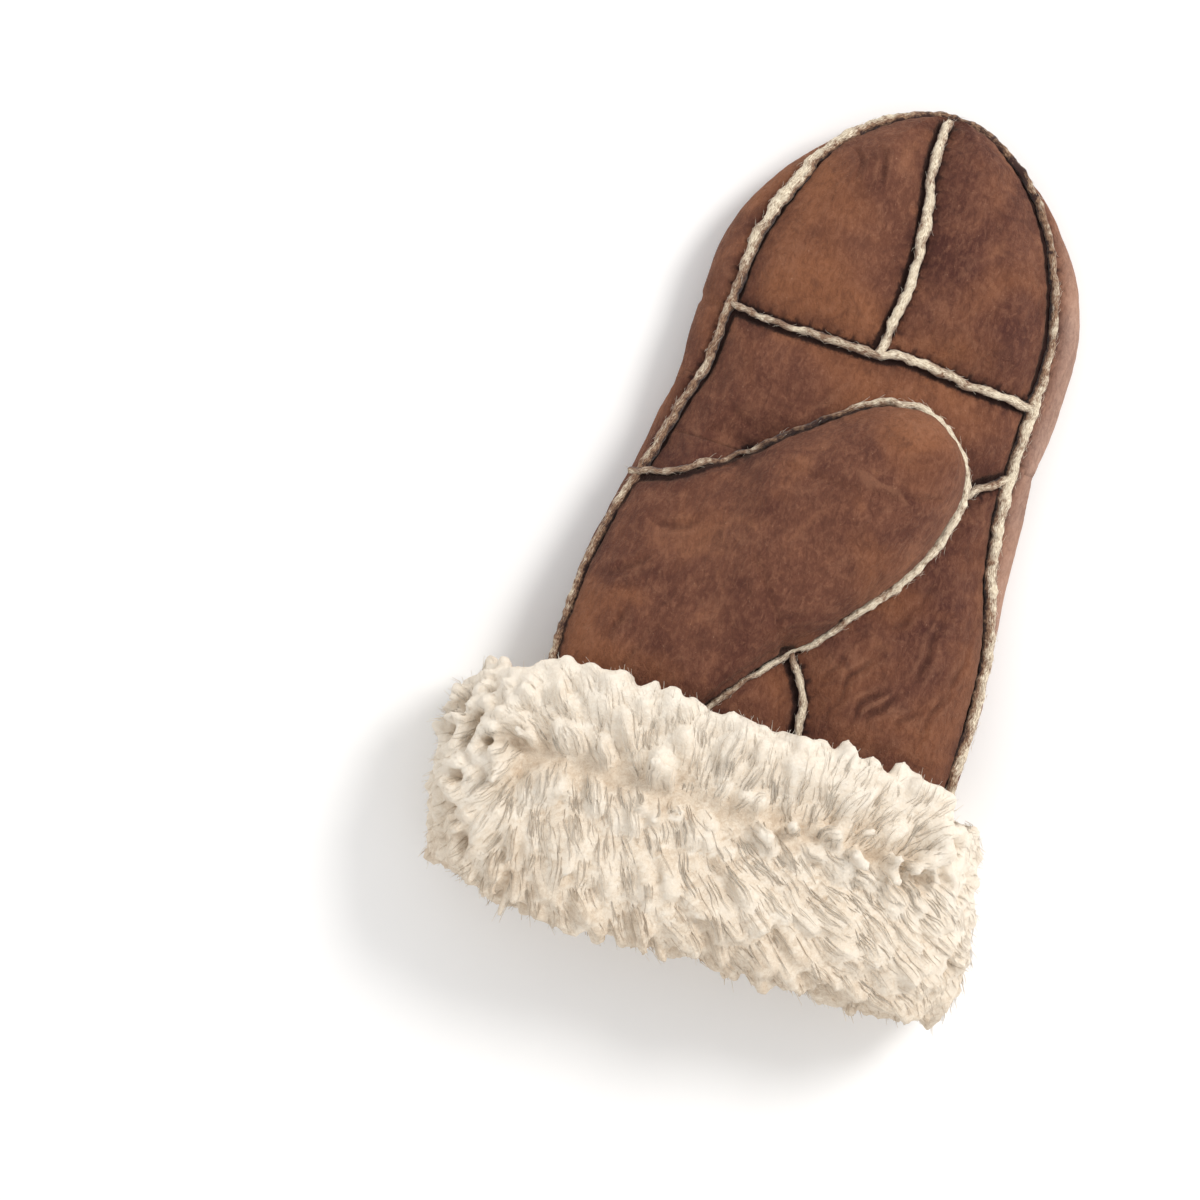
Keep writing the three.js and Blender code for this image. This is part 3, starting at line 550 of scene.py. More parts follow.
def creases(points, rows):
    """How deep some creases are at points, seen in plan. Each fades out towards its ends."""
    depth = np.zeros(points.shape[:-1])
    for i, row in enumerate(rows):
        start = np.array([row["x"], row["y"]], float)
        way = np.array([row["to_x"], row["to_y"]], float) - start
        length = np.linalg.norm(way)
        ahead = way / length
        beside = np.array([-ahead[1], ahead[0]])
        from_start = points[..., :2] - start
        share = from_start @ ahead / length
        wave = CREASE_WANDER * noise(np.stack([share * length, 0 * share, 0 * share + i], -1), 6.0, 3)
        off = from_start @ beside - row["bow"] * np.sin(np.pi * np.clip(share, 0, 1)) - wave
        fade = smoothstep(share, -0.05, 0.3) * (1 - smoothstep(share, 0.7, 1.05))
        width = CREASE_NARROW * row["width"]
        inside = np.exp(-((off / width) ** 2))
        lip = CREASE_LIP * np.exp(-(((np.abs(off) - 2 * width) / width) ** 2))
        depth += row["depth"] * fade * (inside - lip)
    broken = np.clip(0.9 + 0.9 * noise(points, 8.0, 9), 0.2, 1.4)
    return CREASE_SHARE * depth * broken


def relief(points, near, crease_rows, seed):
    """How far the leather stands out, and down where it is less than nothing."""
    groove = -GROOVE_DEPTH * np.exp(-((near.far / GROOVE_REACH) ** 2))
    groove = groove - DITCH_DEPTH * np.exp(-(((near.side - DITCH_PLACE) / DITCH_WIDTH) ** 2))
    stitch = 0.5 + 0.5 * np.cos(2 * np.pi * near.run / STITCH_PITCH)
    pucker = -PUCKER_DEPTH * stitch * np.exp(-near.far / PUCKER_REACH)
    ray_at = np.stack([near.run, near.far * 0.25, near.side * 0 + np.sign(near.side) * 5], -1)
    rays = RAY_HEIGHT * noise(ray_at, RAY_SIZE, seed + 1) * np.exp(-near.far / RAY_REACH)
    surface = uneven(points, LUMPS, seed + 2) + uneven(points, GRAIN, seed + 4)
    surface = surface * smoothstep(near.far, 0, GRAIN_FROM_SEAM)
    return groove + pucker + rays + surface - creases(points, crease_rows)


def skin_grid(y, turn, crease_rows, seed):
    """The dressed leather over the hand, with its directions out, what lies near, and creases."""
    smooth = smooth_skin(y, turn)
    out = outward(y, turn)
    near = near_skin_seams.find(smooth)
    face = smooth - valley_at(near.far)[..., None] * out
    face = face + relief(smooth, near, crease_rows, seed)[..., None] * out
    above_floor(face, LEATHER_LOWEST)
    return SimpleNamespace(at=face, out=out, near=near, fold=creases(smooth, crease_rows))


# Meshes.
def add_object(name, node, points, faces, finishes, values=None, finish_of=None):
    """A smooth mesh that stands for CAD nodes, which it hides, and rides with the root."""
    mesh = bpy.data.meshes.new(name)
    mesh.from_pydata(((points + ORIGIN) / 1000).tolist(), [], faces)
    mesh.polygons.foreach_set("use_smooth", np.ones(len(mesh.polygons), bool))
    for key, value in (values or {}).items():
        kind = "FLOAT_VECTOR" if value.ndim == 2 else "FLOAT"
        layer = mesh.attributes.new(key, kind, "POINT")
        layer.data.foreach_set("vector" if value.ndim == 2 else "value", value.ravel())
    for finish in finishes:
        mesh.materials.append(finish)
    if finish_of is not None:
        mesh.polygons.foreach_set("material_index", finish_of.astype(np.int32))
    mesh.update()
    piece = bpy.data.objects.new(name, mesh)
    bpy.context.scene.collection.objects.link(piece)
    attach(piece, "root")
    if node:
        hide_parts(*node)


def grid_quads(rows, cols):
    index = np.arange(rows * cols).reshape(rows, cols)
    return np.stack([index[:-1, :-1], index[:-1, 1:], index[1:, 1:], index[1:, :-1]], axis=-1)


def tube_quads(rings, sides):
    """The points of a tube ring by ring, and its faces without its ends."""
    index = np.arange(rings * sides).reshape(rings, sides)
    after = np.roll(index, -1, axis=1)
    quads = np.stack([index[:-1], after[:-1], after[1:], index[1:]], axis=-1)
    return index, quads.reshape(-1, 4)


def ring_faces(around, count):
    """The faces of a ring of closed profiles with a count of points each."""
    index = np.arange(around * count).reshape(around, count)
    right = np.roll(index, -1, axis=1)
    quads = np.stack([index, np.roll(index, -1, axis=0), np.roll(right, -1, axis=0), right], axis=-1)
    return quads.reshape(-1, 4)


def facing_out(points, quads, outs):
    """Turns quads round where they face in."""
    a, b, c, d = (points[quads[..., k]] for k in range(4))
    normal = np.cross(c - a, d - b)
    if np.sum(normal * outs[quads[..., 0]]) < 0:
        return quads[..., ::-1]
    return quads


def painted_sheen_rim(points, outs):
    """How much painted sheen the nap takes: most along the right side, where the back wraps round it
    and faces the light.
    """
    across = place_of(points)[..., 1]
    side = smoothstep(outs[:, 0], 0.35, 0.9) * smoothstep(across, 0.8, 0.97)
    along = smoothstep(points[:, 1], 15, 70) * (1 - smoothstep(points[:, 1], 150, 195))
    return 0.8 * side * along * (0.75 + 0.25 * noise(points, 14, 91))


def leather_sheet(name, grid, keep, tone, inset=LEATHER):
    """One panel: the cells of a grid that are kept, with an inner face and a rim."""
    rows, cols = grid.at.shape[:2]
    points = grid.at.reshape(-1, 3)
    outs = grid.out.reshape(-1, 3)
    quads = facing_out(points, grid_quads(rows, cols), outs)[keep]
    used, flat = np.unique(quads, return_inverse=True)
    quads = flat.reshape(quads.shape)
    points = points[used]
    outs = outs[used]
    inner = points - inset * outs
    above_floor(inner, INNER_LOWEST)
    count = len(points)
    edges = np.concatenate([quads[:, [k, (k + 1) % 4]] for k in range(4)])
    keys = np.sort(edges, axis=1)
    _, first, times = np.unique(keys, axis=0, return_index=True, return_counts=True)
    rim = edges[first[times == 1]]
    rim_quads = np.stack([rim[:, 1], rim[:, 0], rim[:, 0] + count, rim[:, 1] + count], axis=-1)
    faces = np.concatenate([quads, quads[:, ::-1] + count, rim_quads])
    inside = np.zeros(len(faces), int)
    inside[len(quads) : 2 * len(quads)] = 1
    near = grid.near
    by_point = {
        "seam_far": near.far.ravel()[used],
        "seam_side": near.side.ravel()[used],
        "seam_run": near.run.ravel()[used],
        "tone": np.full(count, float(tone)),
        "pale": painted_sheen_rim(points, outs),
        "fold": grid.fold.ravel()[used],
    }
    values = {key: np.tile(value, 2) for key, value in by_point.items()}
    points = np.concatenate([points, inner])
    finishes = [SUEDE, WOOL_LINING]
    add_object(name + "_suede", [name], points, faces.tolist(), finishes, values, inside)


# Materials.
def srgb(red, green, blue):
    """A linear colour from one as it is seen, 0 to 255."""
    seen = np.array([red, green, blue]) / 255
    linear = np.where(seen <= 0.04045, seen / 12.92, ((seen + 0.055) / 1.055) ** 2.4)
    return (*linear.tolist(), 1.0)


class Finish:
    """A material that is made node by node."""

    def __init__(self, name):
        self.material = bpy.data.materials.new(name)
        self.material.use_nodes = True
        self.tree = self.material.node_tree
        self.tree.nodes.clear()
        self.output = self.tree.nodes.new("ShaderNodeOutputMaterial")

    def node(self, kind, inputs=None, **settings):
        made = self.tree.nodes.new(kind)
        for key, value in settings.items():
            setattr(made, key, value)
        for key, value in (inputs or {}).items():
            if isinstance(value, bpy.types.NodeSocket):
                self.tree.links.new(value, made.inputs[key])
            else:
                made.inputs[key].default_value = value
        return made

    def value(self, name):
        return self.node("ShaderNodeAttribute", attribute_name=name).outputs["Fac"]

    def vector(self, name):
        return self.node("ShaderNodeAttribute", attribute_name=name).outputs["Vector"]

    def place(self):
        return self.node("ShaderNodeTexCoord").outputs["Object"]

    def scaled(self, vector, scale):
        return self.node("ShaderNodeMapping", {"Vector": vector, "Scale": scale}).outputs["Vector"]

    def noise(self, vector, scale, detail=3.0, roughness=0.55, distortion=0.0):
        names = ("Vector", "Scale", "Detail", "Roughness", "Distortion")
        inputs = dict(zip(names, (vector, scale, detail, roughness, distortion)))
        return self.node("ShaderNodeTexNoise", inputs).outputs["Fac"]

    def math(self, operation, *values):
        made = self.node("ShaderNodeMath", dict(enumerate(values)), operation=operation)
        return made.outputs["Value"]

    def plus(self, first, second):
        return self.math("ADD", first, second)

    def times(self, first, second):
        return self.math("MULTIPLY", first, second)

    def between(self, value, low, high, to_low=0.0, to_high=1.0):
        """A value carried from one range to another, and held inside it."""
        names = ("Value", "From Min", "From Max", "To Min", "To Max")
        inputs = dict(zip(names, (value, low, high, to_low, to_high)))
        return self.node("ShaderNodeMapRange", inputs, clamp=True).outputs["Result"]

    def mix(self, factor, first, second, blend="MIX"):
        inputs = {0: factor, 6: first, 7: second}
        made = self.node("ShaderNodeMix", inputs, data_type="RGBA", blend_type=blend)
        return made.outputs[2]

    def tinted(self, colour, value, low, high, most, tint):
        """A colour that takes up to a share of a tint as a value goes from low to high."""
        return self.mix(self.between(value, low, high, 0.0, most), colour, srgb(*tint))

    def bump(self, height, distance, strength=1.0, normal=None):
        inputs = {"Height": height, "Distance": distance, "Strength": strength}
        if normal is not None:
            inputs["Normal"] = normal
        return self.node("ShaderNodeBump", inputs).outputs["Normal"]

    def finish(self, colour, roughness, normal=None, **sockets):
        inputs = {"Base Color": colour, "Roughness": roughness}
        inputs.update({key.replace("_", " "): value for key, value in sockets.items()})
        if normal is not None:
            inputs["Normal"] = normal
        shader = self.node("ShaderNodeBsdfPrincipled", inputs)
        self.tree.links.new(shader.outputs[0], self.output.inputs["Surface"])
        return self.material


# How much darker the finished suede is than the colours that it is mixed from.
SUEDE_DEPTH = (0.885, 0.885, 0.9, 1.0)


def suede():
    """Brown napped suede: blotches, brushed streaks, pale specks, painted shade in the grooves at the
    seams and in the creases, and a painted sheen on the right rim.
    """
    made = Finish("suede")
    place = made.place()
    blotch = made.noise(place, 62, 5, 0.62, 0.9)
    patch = made.noise(place, 26, 3, 0.5, 0.4)
    haze = made.noise(place, 110, 4, 0.6, 1.0)
    streak = made.noise(made.scaled(place, (1.0, 0.5, 1.0)), 640, 4, 0.75, 0.6)
    nap = made.noise(place, 1500, 4, 0.7)
    tone = made.value("tone")
    fold = made.value("fold")
    colour = made.mix(made.between(blotch, 0.36, 0.64), srgb(86, 49, 41), srgb(122, 78, 60))
    for tint in (
        (patch, 0.47, 0.66, 0.85, (146, 93, 63)),
        (blotch, 0.58, 0.72, 0.6, (152, 102, 74)),
        (streak, 0.48, 0.72, 0.45, (164, 114, 88)),
        (streak, 0.5, 0.26, 0.45, (66, 38, 34)),
        (haze, 0.56, 0.72, 0.4, (160, 112, 86)),
        (haze, 0.44, 0.28, 0.45, (72, 42, 36)),
        (tone, 0, 1, 1.0, (150, 98, 70)),
        (tone, 0, -1, 1.0, (80, 48, 42)),
        # Painted shade deep in the creases, and a painted highlight on the leather that stands up
        # beside them.
        (fold, 0.15, 0.9, 0.45, (62, 36, 30)),
        (fold, -0.05, -0.4, 0.28, (172, 124, 96)),
    ):
        colour = made.tinted(colour, *tint)
    fleck = made.times(made.between(nap, 0.62, 0.74), made.between(streak, 0.45, 0.65))
    colour = made.mix(made.times(fleck, 0.65), colour, srgb(206, 166, 136))
    # The seams' surroundings: painted shade, worn edges, painted shadow in the dark ditch on one side
    # of each seam, and painted shade in the dents of the stitches.
    ragged = made.plus(made.value("seam_far"), made.between(streak, 0.3, 0.7, -0.4, 0.4))
    shaded = made.times(made.between(ragged, 8.0, 3.0), made.between(blotch, 0.62, 0.4))
    colour = made.mix(made.times(shaded, 0.55), colour, srgb(70, 40, 35))
    # Painted sheen: the rim on the right side, where the back wraps round, is made paler as if lit.
    pale = made.times(made.value("pale"), made.between(streak, 0.3, 0.62, 0.55, 1.0))
    colour = made.mix(pale, colour, srgb(214, 178, 158))
    # Painted shadow: the ditch beside each seam is darkened on one side only.
    ditch_side = made.between(made.value("seam_side"), -0.4, 0.6, 0.0, 1.1)
    ditch_shadow = made.between(made.math("SUBTRACT", ragged, ditch_side), 2.3, 1.5)
    colour = made.mix(made.times(ditch_shadow, 0.93), colour, srgb(38, 22, 20))
    # Painted shade: the leather darkens in the dents at every stitch.
    turns = made.times(made.value("seam_run"), 2 * math.pi / STITCH_PITCH)
    beat = made.math("SINE", made.plus(turns, made.between(patch, 0.3, 0.7, -2.0, 2.0)))
    dent = made.times(made.between(beat, 0.35, 0.95), made.between(ragged, 4.2, 2.6))
    dent = made.times(dent, made.between(haze, 0.35, 0.6, 0.25, 0.85))
    colour = made.mix(dent, colour, srgb(46, 27, 24))
    colour = made.mix(1.0, colour, SUEDE_DEPTH, "MULTIPLY")
    fine = made.noise(place, 900, 5, 0.7)
    grain = made.plus(made.times(fine, 0.7), made.times(streak, 0.9))
    wrinkle = made.noise(made.scaled(place, (1.0, 0.45, 1.0)), 150, 4, 0.62, 1.4)
    normal = made.bump(grain, 0.0008, 0.9)
    normal = made.bump(wrinkle, 0.0016, 0.5, normal)
    return made.finish(
        colour,
        0.9,
        normal,
        Sheen_Weight=0.18,
        Sheen_Roughness=0.45,
        Sheen_Tint=srgb(214, 176, 150),
        Specular_IOR_Level=0.2,
    )


def wool_lining():
    """The wool on the inside of the leather."""
    made = Finish("wool_lining")
    curl = made.noise(made.place(), 260, 4, 0.6, 2.0)
    colour = made.mix(made.between(curl, 0.35, 0.65), srgb(176, 152, 122), srgb(236, 222, 200))
    return made.finish(colour, 1.0, made.bump(curl, 0.003, 1.0), Sheen_Weight=0.3)


def seam_wool():
    """A raised seam: cream wool pressed out between two brown leather edges."""
    made = Finish("seam_wool")
    patches = made.noise(made.place(), 150, 3, 0.55, 0.8)
    fibres = made.noise(made.scaled(made.vector("strand"), (3.4, 0.8, 1.0)), 1.0, 4, 0.65, 0.5)
    wool = made.plus(made.value("wool"), made.between(patches, 0.35, 0.65, -0.24, 0.24))
    wool = made.plus(wool, made.between(fibres, 0.3, 0.7, -0.24, 0.2))
    pale = made.mix(made.between(fibres, 0.3, 0.65), srgb(186, 162, 130), srgb(252, 240, 216))
    tan = made.mix(made.between(fibres, 0.35, 0.65), srgb(104, 70, 54), srgb(168, 134, 104))
    colour = made.mix(made.between(wool, 0.4, 0.85), tan, pale)
    colour = made.tinted(colour, wool, 0.32, 0.05, 1.0, (60, 36, 30))
    height = made.plus(fibres, made.times(patches, 0.4))
    return made.finish(colour, 0.95, made.bump(height, 0.0006, 0.8), Sheen_Weight=0.15)


def fleece(name, combed):
    """Matt wool, darker at the roots: painted shade deep among the locks. Combed wool has fine fibres
    that run along each lock.
    """
    made = Finish(name)
    if combed:
        strand = made.vector("strand")
        fibres = made.noise(made.scaled(strand, (5.0, 0.55, 1.0)), 1.0, 4, 0.65, 0.9)
        coarse = made.noise(made.scaled(strand, (1.6, 0.3, 1.0)), 1.0, 3, 0.5, 0.6)
    else:
        place = made.place()
        fibres = made.noise(place, 760, 4, 0.7, 1.6)
        coarse = made.noise(place, 210, 3, 0.6, 1.0)
    # The roots' darker tone is painted shade deep among the locks.
    shade = made.plus(made.value("tip"), made.between(fibres, 0.3, 0.7, -0.2, 0.2))
    shade = made.plus(shade, made.between(coarse, 0.3, 0.7, -0.16, 0.16))
    colour = made.mix(made.between(shade, 0.0, 0.45), srgb(201, 179, 154), srgb(232, 217, 197))
    colour = made.tinted(colour, shade, 0.4, 0.9, 1.0, (245, 235, 220))
    height = made.plus(fibres, made.times(coarse, 0.6))
    return made.finish(
        colour,
        1.0,
        made.bump(height, 0.0007, 0.7),
        Sheen_Weight=0.4,
        Sheen_Roughness=0.6,
        Sheen_Tint=srgb(255, 240, 220),
        Specular_IOR_Level=0.05,
    )


SUEDE = suede()
WOOL_LINING = wool_lining()
SEAM_WOOL = seam_wool()
FLEECE = fleece("fleece", True)
FELTED_FLEECE = fleece("felted_fleece", False)

# The panels.
CELL = 1.0
BACK_CELL = 1.3 * CELL


def rows_along(cell):
    count = round(HAND_LENGTH / cell)
    share = np.linspace(0, 1, count)
    rounded = np.sin(share * np.pi / 2)
    return HAND_LENGTH * np.minimum(0.4 * share + 0.6 * rounded, NEAR_TIP)


def turn_at(name, y):
    return turn_of(column(SIDE_SEAM, name, y / HAND_LENGTH), 1)


def cells(values):
    """A grid's values at the middle of its cells."""
    return (values[:-1, :-1] + values[1:, :-1] + values[:-1, 1:] + values[1:, 1:]) / 4


def route_above(route, along, across):
    """Where a place lies above a route that runs across the hand."""
    line = smooth_line(route)
    order = np.argsort(line[:, 1])
    return along > np.interp(across, line[order, 1], line[order, 0])


def route_right(route, along, across):
    """Where a place lies to the right of a route that runs along the hand."""
    line = smooth_line(route)
    order = np.argsort(line[:, 0])
    return across > np.interp(along, line[order, 0], line[order, 1])


def inside_outline(outline, points):
    """Where points lie inside a closed outline in plan."""
    x, y = points[..., 0], points[..., 1]
    inside = np.zeros(x.shape, bool)
    for start, end in zip(outline, np.roll(outline, -1, axis=0)):
        crosses = (start[1] > y) != (end[1] > y)
        rise = end[1] - start[1]
        if rise == 0:
            continue
        inside ^= crosses & (x < start[0] + (y - start[1]) * (end[0] - start[0]) / rise)
    return inside


def make_palm():
    y = rows_along(CELL)[:, None]
    share = np.linspace(0, 1, round(HAND_WIDTH * 1.12 / CELL))[None, :]
    right, left = turn_at("right", y), turn_at("left", y)
    turn = right + (left - right) * share
    grid = skin_grid(np.broadcast_to(y, turn.shape), turn, PALM_CREASES, 10)
    smooth = cells(smooth_skin(np.broadcast_to(y, turn.shape), turn))
    place = place_of(smooth)
    along, across = place[..., 0], place[..., 1]
    wedge_line = smooth_line([plan_of(p) for p in wedge_route])
    free = np.linspace(0, FREE_UPPER, 20)
    hole = np.concatenate(
        [
            [plan_of((-0.05, -1.1)), plan_of((0.338, -1.1))],
            on_line(upper_edge, free),
            [on_line(lower_edge, FREE_LOWER)],
            wedge_line,
            [plan_of((-0.05, wedge_route[-1][1]))],
        ]
    )
    climb = np.linspace(LOWER_CORNER, WEDGE_START, 30)
    wedge = np.concatenate([on_line(lower_edge, climb), wedge_line[1:]])
    open_palm = ~inside_outline(hole, smooth)
    tip = route_above(PALM_CROSS, along, across)
    low = ~route_above(PALM_LOW_CROSS, along, across)
    right_half = route_right(PALM_CENTRE, along, across)
    leather_sheet("palm_tip_left", grid, tip & ~right_half & open_palm, 0.12)
    leather_sheet("palm_tip_right", grid, tip & right_half & open_palm, -0.12)
    leather_sheet("palm_mid", grid, ~tip & ~low & open_palm, 0.1)
    leather_sheet("palm_low", grid, low & open_palm, -0.15)
    leather_sheet("palm_wedge", grid, inside_outline(wedge, smooth), -0.1)


def make_back():
    y = rows_along(BACK_CELL)[:, None]
    share = np.linspace(0, 1, round(HAND_WIDTH * 1.5 / BACK_CELL))[None, :]
    crowded = share + 0.12 * np.sin(2 * np.pi * share) / (2 * np.pi)
    left, right = turn_at("left", y), turn_at("right", y) + 2 * np.pi
    turn = left + (right - left) * crowded
    wide = np.broadcast_to(y, turn.shape)
    grid = skin_grid(wide, turn, BACK_CREASES, 30)
    place = place_of(cells(smooth_skin(wide, turn)))
    along, across = place[..., 0], place[..., 1]
    cross = BACK_CROSS_LEFT[::-1] + BACK_CROSS_RIGHT[1:]
    above = route_above(cross, along, across)
    middle = cells(turn) > 1.5 * np.pi
    past = route_right(BACK_CENTRE, along, across)
    edge = np.abs(across) > 0.7
    right_half = np.where(edge, middle, past)
    leather_sheet("back_tip_left", grid, above & ~right_half, 0.15)
    leather_sheet("back_tip_right", grid, above & right_half, 0.0)
    leather_sheet("back_hand_left", grid, ~above & ~right_half, 0.05)
    leather_sheet("back_hand_right", grid, ~above & right_half, 0.1)


def make_thumb():
    along = THUMB_END * (1 - (1 - np.linspace(0, 1, round(118 / CELL))) ** 1.25)[:, None]
    across = (0.5 - 0.5 * np.cos(np.linspace(0, np.pi, round(70 / CELL))))[None, :]
    along, across = np.broadcast_arrays(along, across)
    smooth = thumb_skin(along, across)
    step = unit(np.gradient(smooth, axis=0))
    wide = unit(np.gradient(smooth, axis=1))
    out = unit(np.cross(wide, step))
    out = np.where(out[..., 2:] < 0, -out, out)
    near = near_thumb_seam.find(smooth)
    skin_near = near_skin_seams.find(smooth)
    closer = skin_near.far < near.far
    near = SimpleNamespace(
        far=np.where(closer, skin_near.far, near.far),
        side=np.where(closer, skin_near.side, near.side),
        run=np.where(closer, skin_near.run, near.run),
    )
    face = smooth + relief(smooth, near, THUMB_CREASES, 50)[..., None] * out
    grid = SimpleNamespace(at=face, out=out, near=near, fold=creases(smooth, THUMB_CREASES))
    keep = np.ones((along.shape[0] - 1, along.shape[1] - 1), bool)
    leather_sheet("thumb_outer", grid, keep, 0.1)


def make_thumb_underside():
    """The side of the thumb that faces the palm, where the thumb is free."""
    rim = LEATHER + SEAM_WIDTH + 2 * CLEARANCE
    share, across = np.broadcast_arrays(
        np.linspace(0, 1, round(60 / CELL))[:, None], np.linspace(0, 1, round(40 / CELL))[None, :]
    )
    start = FREE_LOWER + (FREE_UPPER - FREE_LOWER) * across + FREE_RAMP / 3
    along = start + (0.88 - start) * share
    low, high = on_line(lower_edge, along), on_line(upper_edge, along)
    taken = np.minimum(rim / np.linalg.norm(high - low, axis=-1), 0.45)
    plan = low + (high - low) * (taken + (1 - 2 * taken) * across)[..., None]
    z = palm_height(plan[..., 0], plan[..., 1]) + PALM_GAP
    under = np.concatenate([plan, z[..., None]], axis=-1)
    out = np.broadcast_to(np.array([0.0, 0.0, -1.0]), under.shape)
    near = near_thumb_seam.find(under)
    grid = SimpleNamespace(at=under, out=out, near=near, fold=np.zeros(near.far.shape))
    leather_sheet("thumb_inner", grid, np.ones((under.shape[0] - 1, under.shape[1] - 1), bool), -0.2)


def look(*rows):
    return table("along width height wool", *rows)


# The raised seams. Each row says how a seam looks from its start, 0, to its end, 1: width and
# height in millimetres, and wool from 0, all leather, to 1, all cream wool.
SEAM_LOOKS = {
    "side_seam": look(
        (0, 2.6, 1.9, 0.6), (0.16, 2.4, 1.8, 0.5), (0.3, 2.8, 1.8, 0.55), (0.36, 4.0, 2.2, 0.85),
        (0.44, 3.4, 2.0, 0.75), (0.5, 2.0, 1.6, 0.3), (0.56, 1.8, 1.6, 0.35),
        (0.62, 1.9, 1.6, 0.45), (0.68, 2.4, 1.8, 0.6), (0.73, 3.6, 2.2, 0.85),
        (0.88, 3.4, 2.2, 0.78), (1, 3.0, 2.0, 0.75),
    ),
    "palm_cross_seam": look(
        (0, 2.0, 1.7, 0.55), (0.3, 2.2, 1.8, 0.6), (0.5, 2.8, 2.0, 0.8), (1, 2.6, 1.9, 0.75)
    ),
    "palm_centre_seam": look((0, 3.0, 2.1, 0.78), (0.5, 3.3, 2.2, 0.85), (1, 2.9, 2.0, 0.8)),
    "palm_low_cross_seam": look((0, 2.6, 1.9, 0.75), (0.3, 2.2, 1.7, 0.6), (1, 2.0, 1.6, 0.4)),
    "thumb_base_seam": look((0, 2.0, 1.7, 0.6), (0.5, 2.6, 1.9, 0.8), (1, 2.6, 1.9, 0.75)),
    "back_centre_seam": look((0, 3.0, 2.0, 0.75), (1, 3.0, 2.0, 0.75)),
    "back_cross_seam_left": look((0, 3.0, 2.0, 0.7), (1, 3.0, 2.0, 0.75)),
    "back_cross_seam_right": look((0, 2.6, 1.9, 0.65), (1, 2.6, 1.9, 0.7)),
    "cuff_seam": look((0, 2.8, 1.9, 0.7), (1, 2.8, 1.9, 0.7)),
    "thumb_seam": look(
        (0, 2.0, 1.6, 0.5), (0.08, 2.0, 1.6, 0.5), (0.18, 1.7, 1.4, 0.35), (0.28, 1.6, 1.3, 0.3),
        (0.34, 2.4, 1.9, 0.7), (0.42, 3.3, 2.3, 0.88), (0.56, 3.3, 2.3, 0.9),
        (0.68, 3.0, 2.1, 0.82), (0.8, 2.4, 1.8, 0.68), (1, 2.0, 1.6, 0.6),
    ),
}
# How far a seam winds from side to side, and how far it lies in the leather at its base.
WIGGLE = 0.22
WANDER = 0.45
SEAM_ROOT = 0.25
PROFILE_POINTS = 11


def seam_ridge(name, stations, sink, seed):
    """A wavy ridge with a rough woolly top, drawn in a little at every stitch."""
    run = stations.run
    share = run / run[-1]
    width, height, wool = (column(SEAM_LOOKS[name], key, share) for key in ("width", "height", "wool"))
    at_run = np.stack([run, 0 * run, 0 * run], -1)
    stitch = np.cos(2 * np.pi * run / STITCH_PITCH + 0.8 * noise(at_run, 30, seed))
    width = width * (1 + 0.06 * stitch + 0.2 * noise(at_run, 2.2, seed + 1))
    height = height * (1 + 0.06 * stitch + 0.14 * noise(at_run, 2.6, seed + 2))
    winding = WIGGLE * np.sin(2 * np.pi * run / (2.1 * STITCH_PITCH))
    winding = winding + WANDER * noise(at_run, 6, seed + 3)
    beside = unit(np.cross(stations.ahead, stations.out))
    upright = np.cross(beside, stations.ahead)
    angle = np.linspace(-0.12 * np.pi, 1.12 * np.pi, PROFILE_POINTS)
    rough_at = np.stack(np.broadcast_arrays(run[:, None], 2.0 * angle[None, :], float(seed)), axis=-1)
    rough = 1 + 0.11 * noise(rough_at, 2.0, seed + 4) + 0.09 * noise(rough_at, 0.8, seed + 5)
    side = np.cos(angle)[None, :] * width[:, None] / 2 * rough + winding[:, None]
    up = powered(np.sin(angle), 0.8)[None, :] * height[:, None] * rough
    base = stations.at - (sink + SEAM_ROOT) * stations.out
    points = base[:, None] + side[..., None] * beside[:, None] + up[..., None] * upright[:, None]
    above_floor(points, SEAM_LOWEST)
    index, quads = tube_quads(len(run), PROFILE_POINTS)
    faces = quads.tolist() + [index[0][::-1].tolist(), index[-1].tolist()]
    lip = np.sin(np.clip(angle, 0, np.pi))[None, :] ** 0.6
    amount = (wool[:, None] + 0.16 * noise(rough_at, 5.0, seed + 6)) * (0.25 + 0.75 * lip)
    dent = np.maximum(0, np.cos(2 * np.pi * run / STITCH_PITCH)) ** 8
    amount = amount - 0.2 * dent[:, None] * (1.2 - wool[:, None])
    strand = np.stack([rough_at[..., 1] * 0.7, rough_at[..., 0], rough_at[..., 2]], axis=-1)
    values = {"wool": amount.ravel(), "strand": strand.reshape(-1, 3)}
    add_object(name + "_wool", [name], points.reshape(-1, 3), faces, [SEAM_WOOL], values)
    return SimpleNamespace(
        tops=points[:, PROFILE_POINTS // 2],
        upright=upright,
        beside=beside,
        ahead=stations.ahead,
        wool=wool,
        width=width,
    )


# Strands: locks and single fibres are tapered tubes along curved lines.
def strand_paths(roots, outs, headings, lengths, rise, stations, crimp, droop=0.0):
    """Curved lines that start out along outs and bend over towards headings."""
    share = np.linspace(0, 1, stations)[None, :, None]
    lift = rise[:, None, None] * (1 - share) ** 2
    way = unit(headings[:, None] + outs[:, None] * lift + np.array([0, 0, -droop]) * share**2)
    step = lengths[:, None, None] / (stations - 1)
    path = np.cumsum(way[:, :-1], axis=1)
    path = np.concatenate([np.zeros_like(way[:, :1]), path], axis=1) * step
    beside = unit(np.cross(headings, outs))
    phase = rng.uniform(0, 2 * np.pi, (len(roots), 1, 1))
    waves = rng.uniform(0.8, 1.8, (len(roots), 1, 1))
    sway = crimp * np.sin(2 * np.pi * waves * share + phase) * share
    nod = 0.6 * crimp * np.cos(2 * np.pi * waves * 1.3 * share + phase) * share
    return roots[:, None] + path + sway * beside[:, None] + nod * outs[:, None]


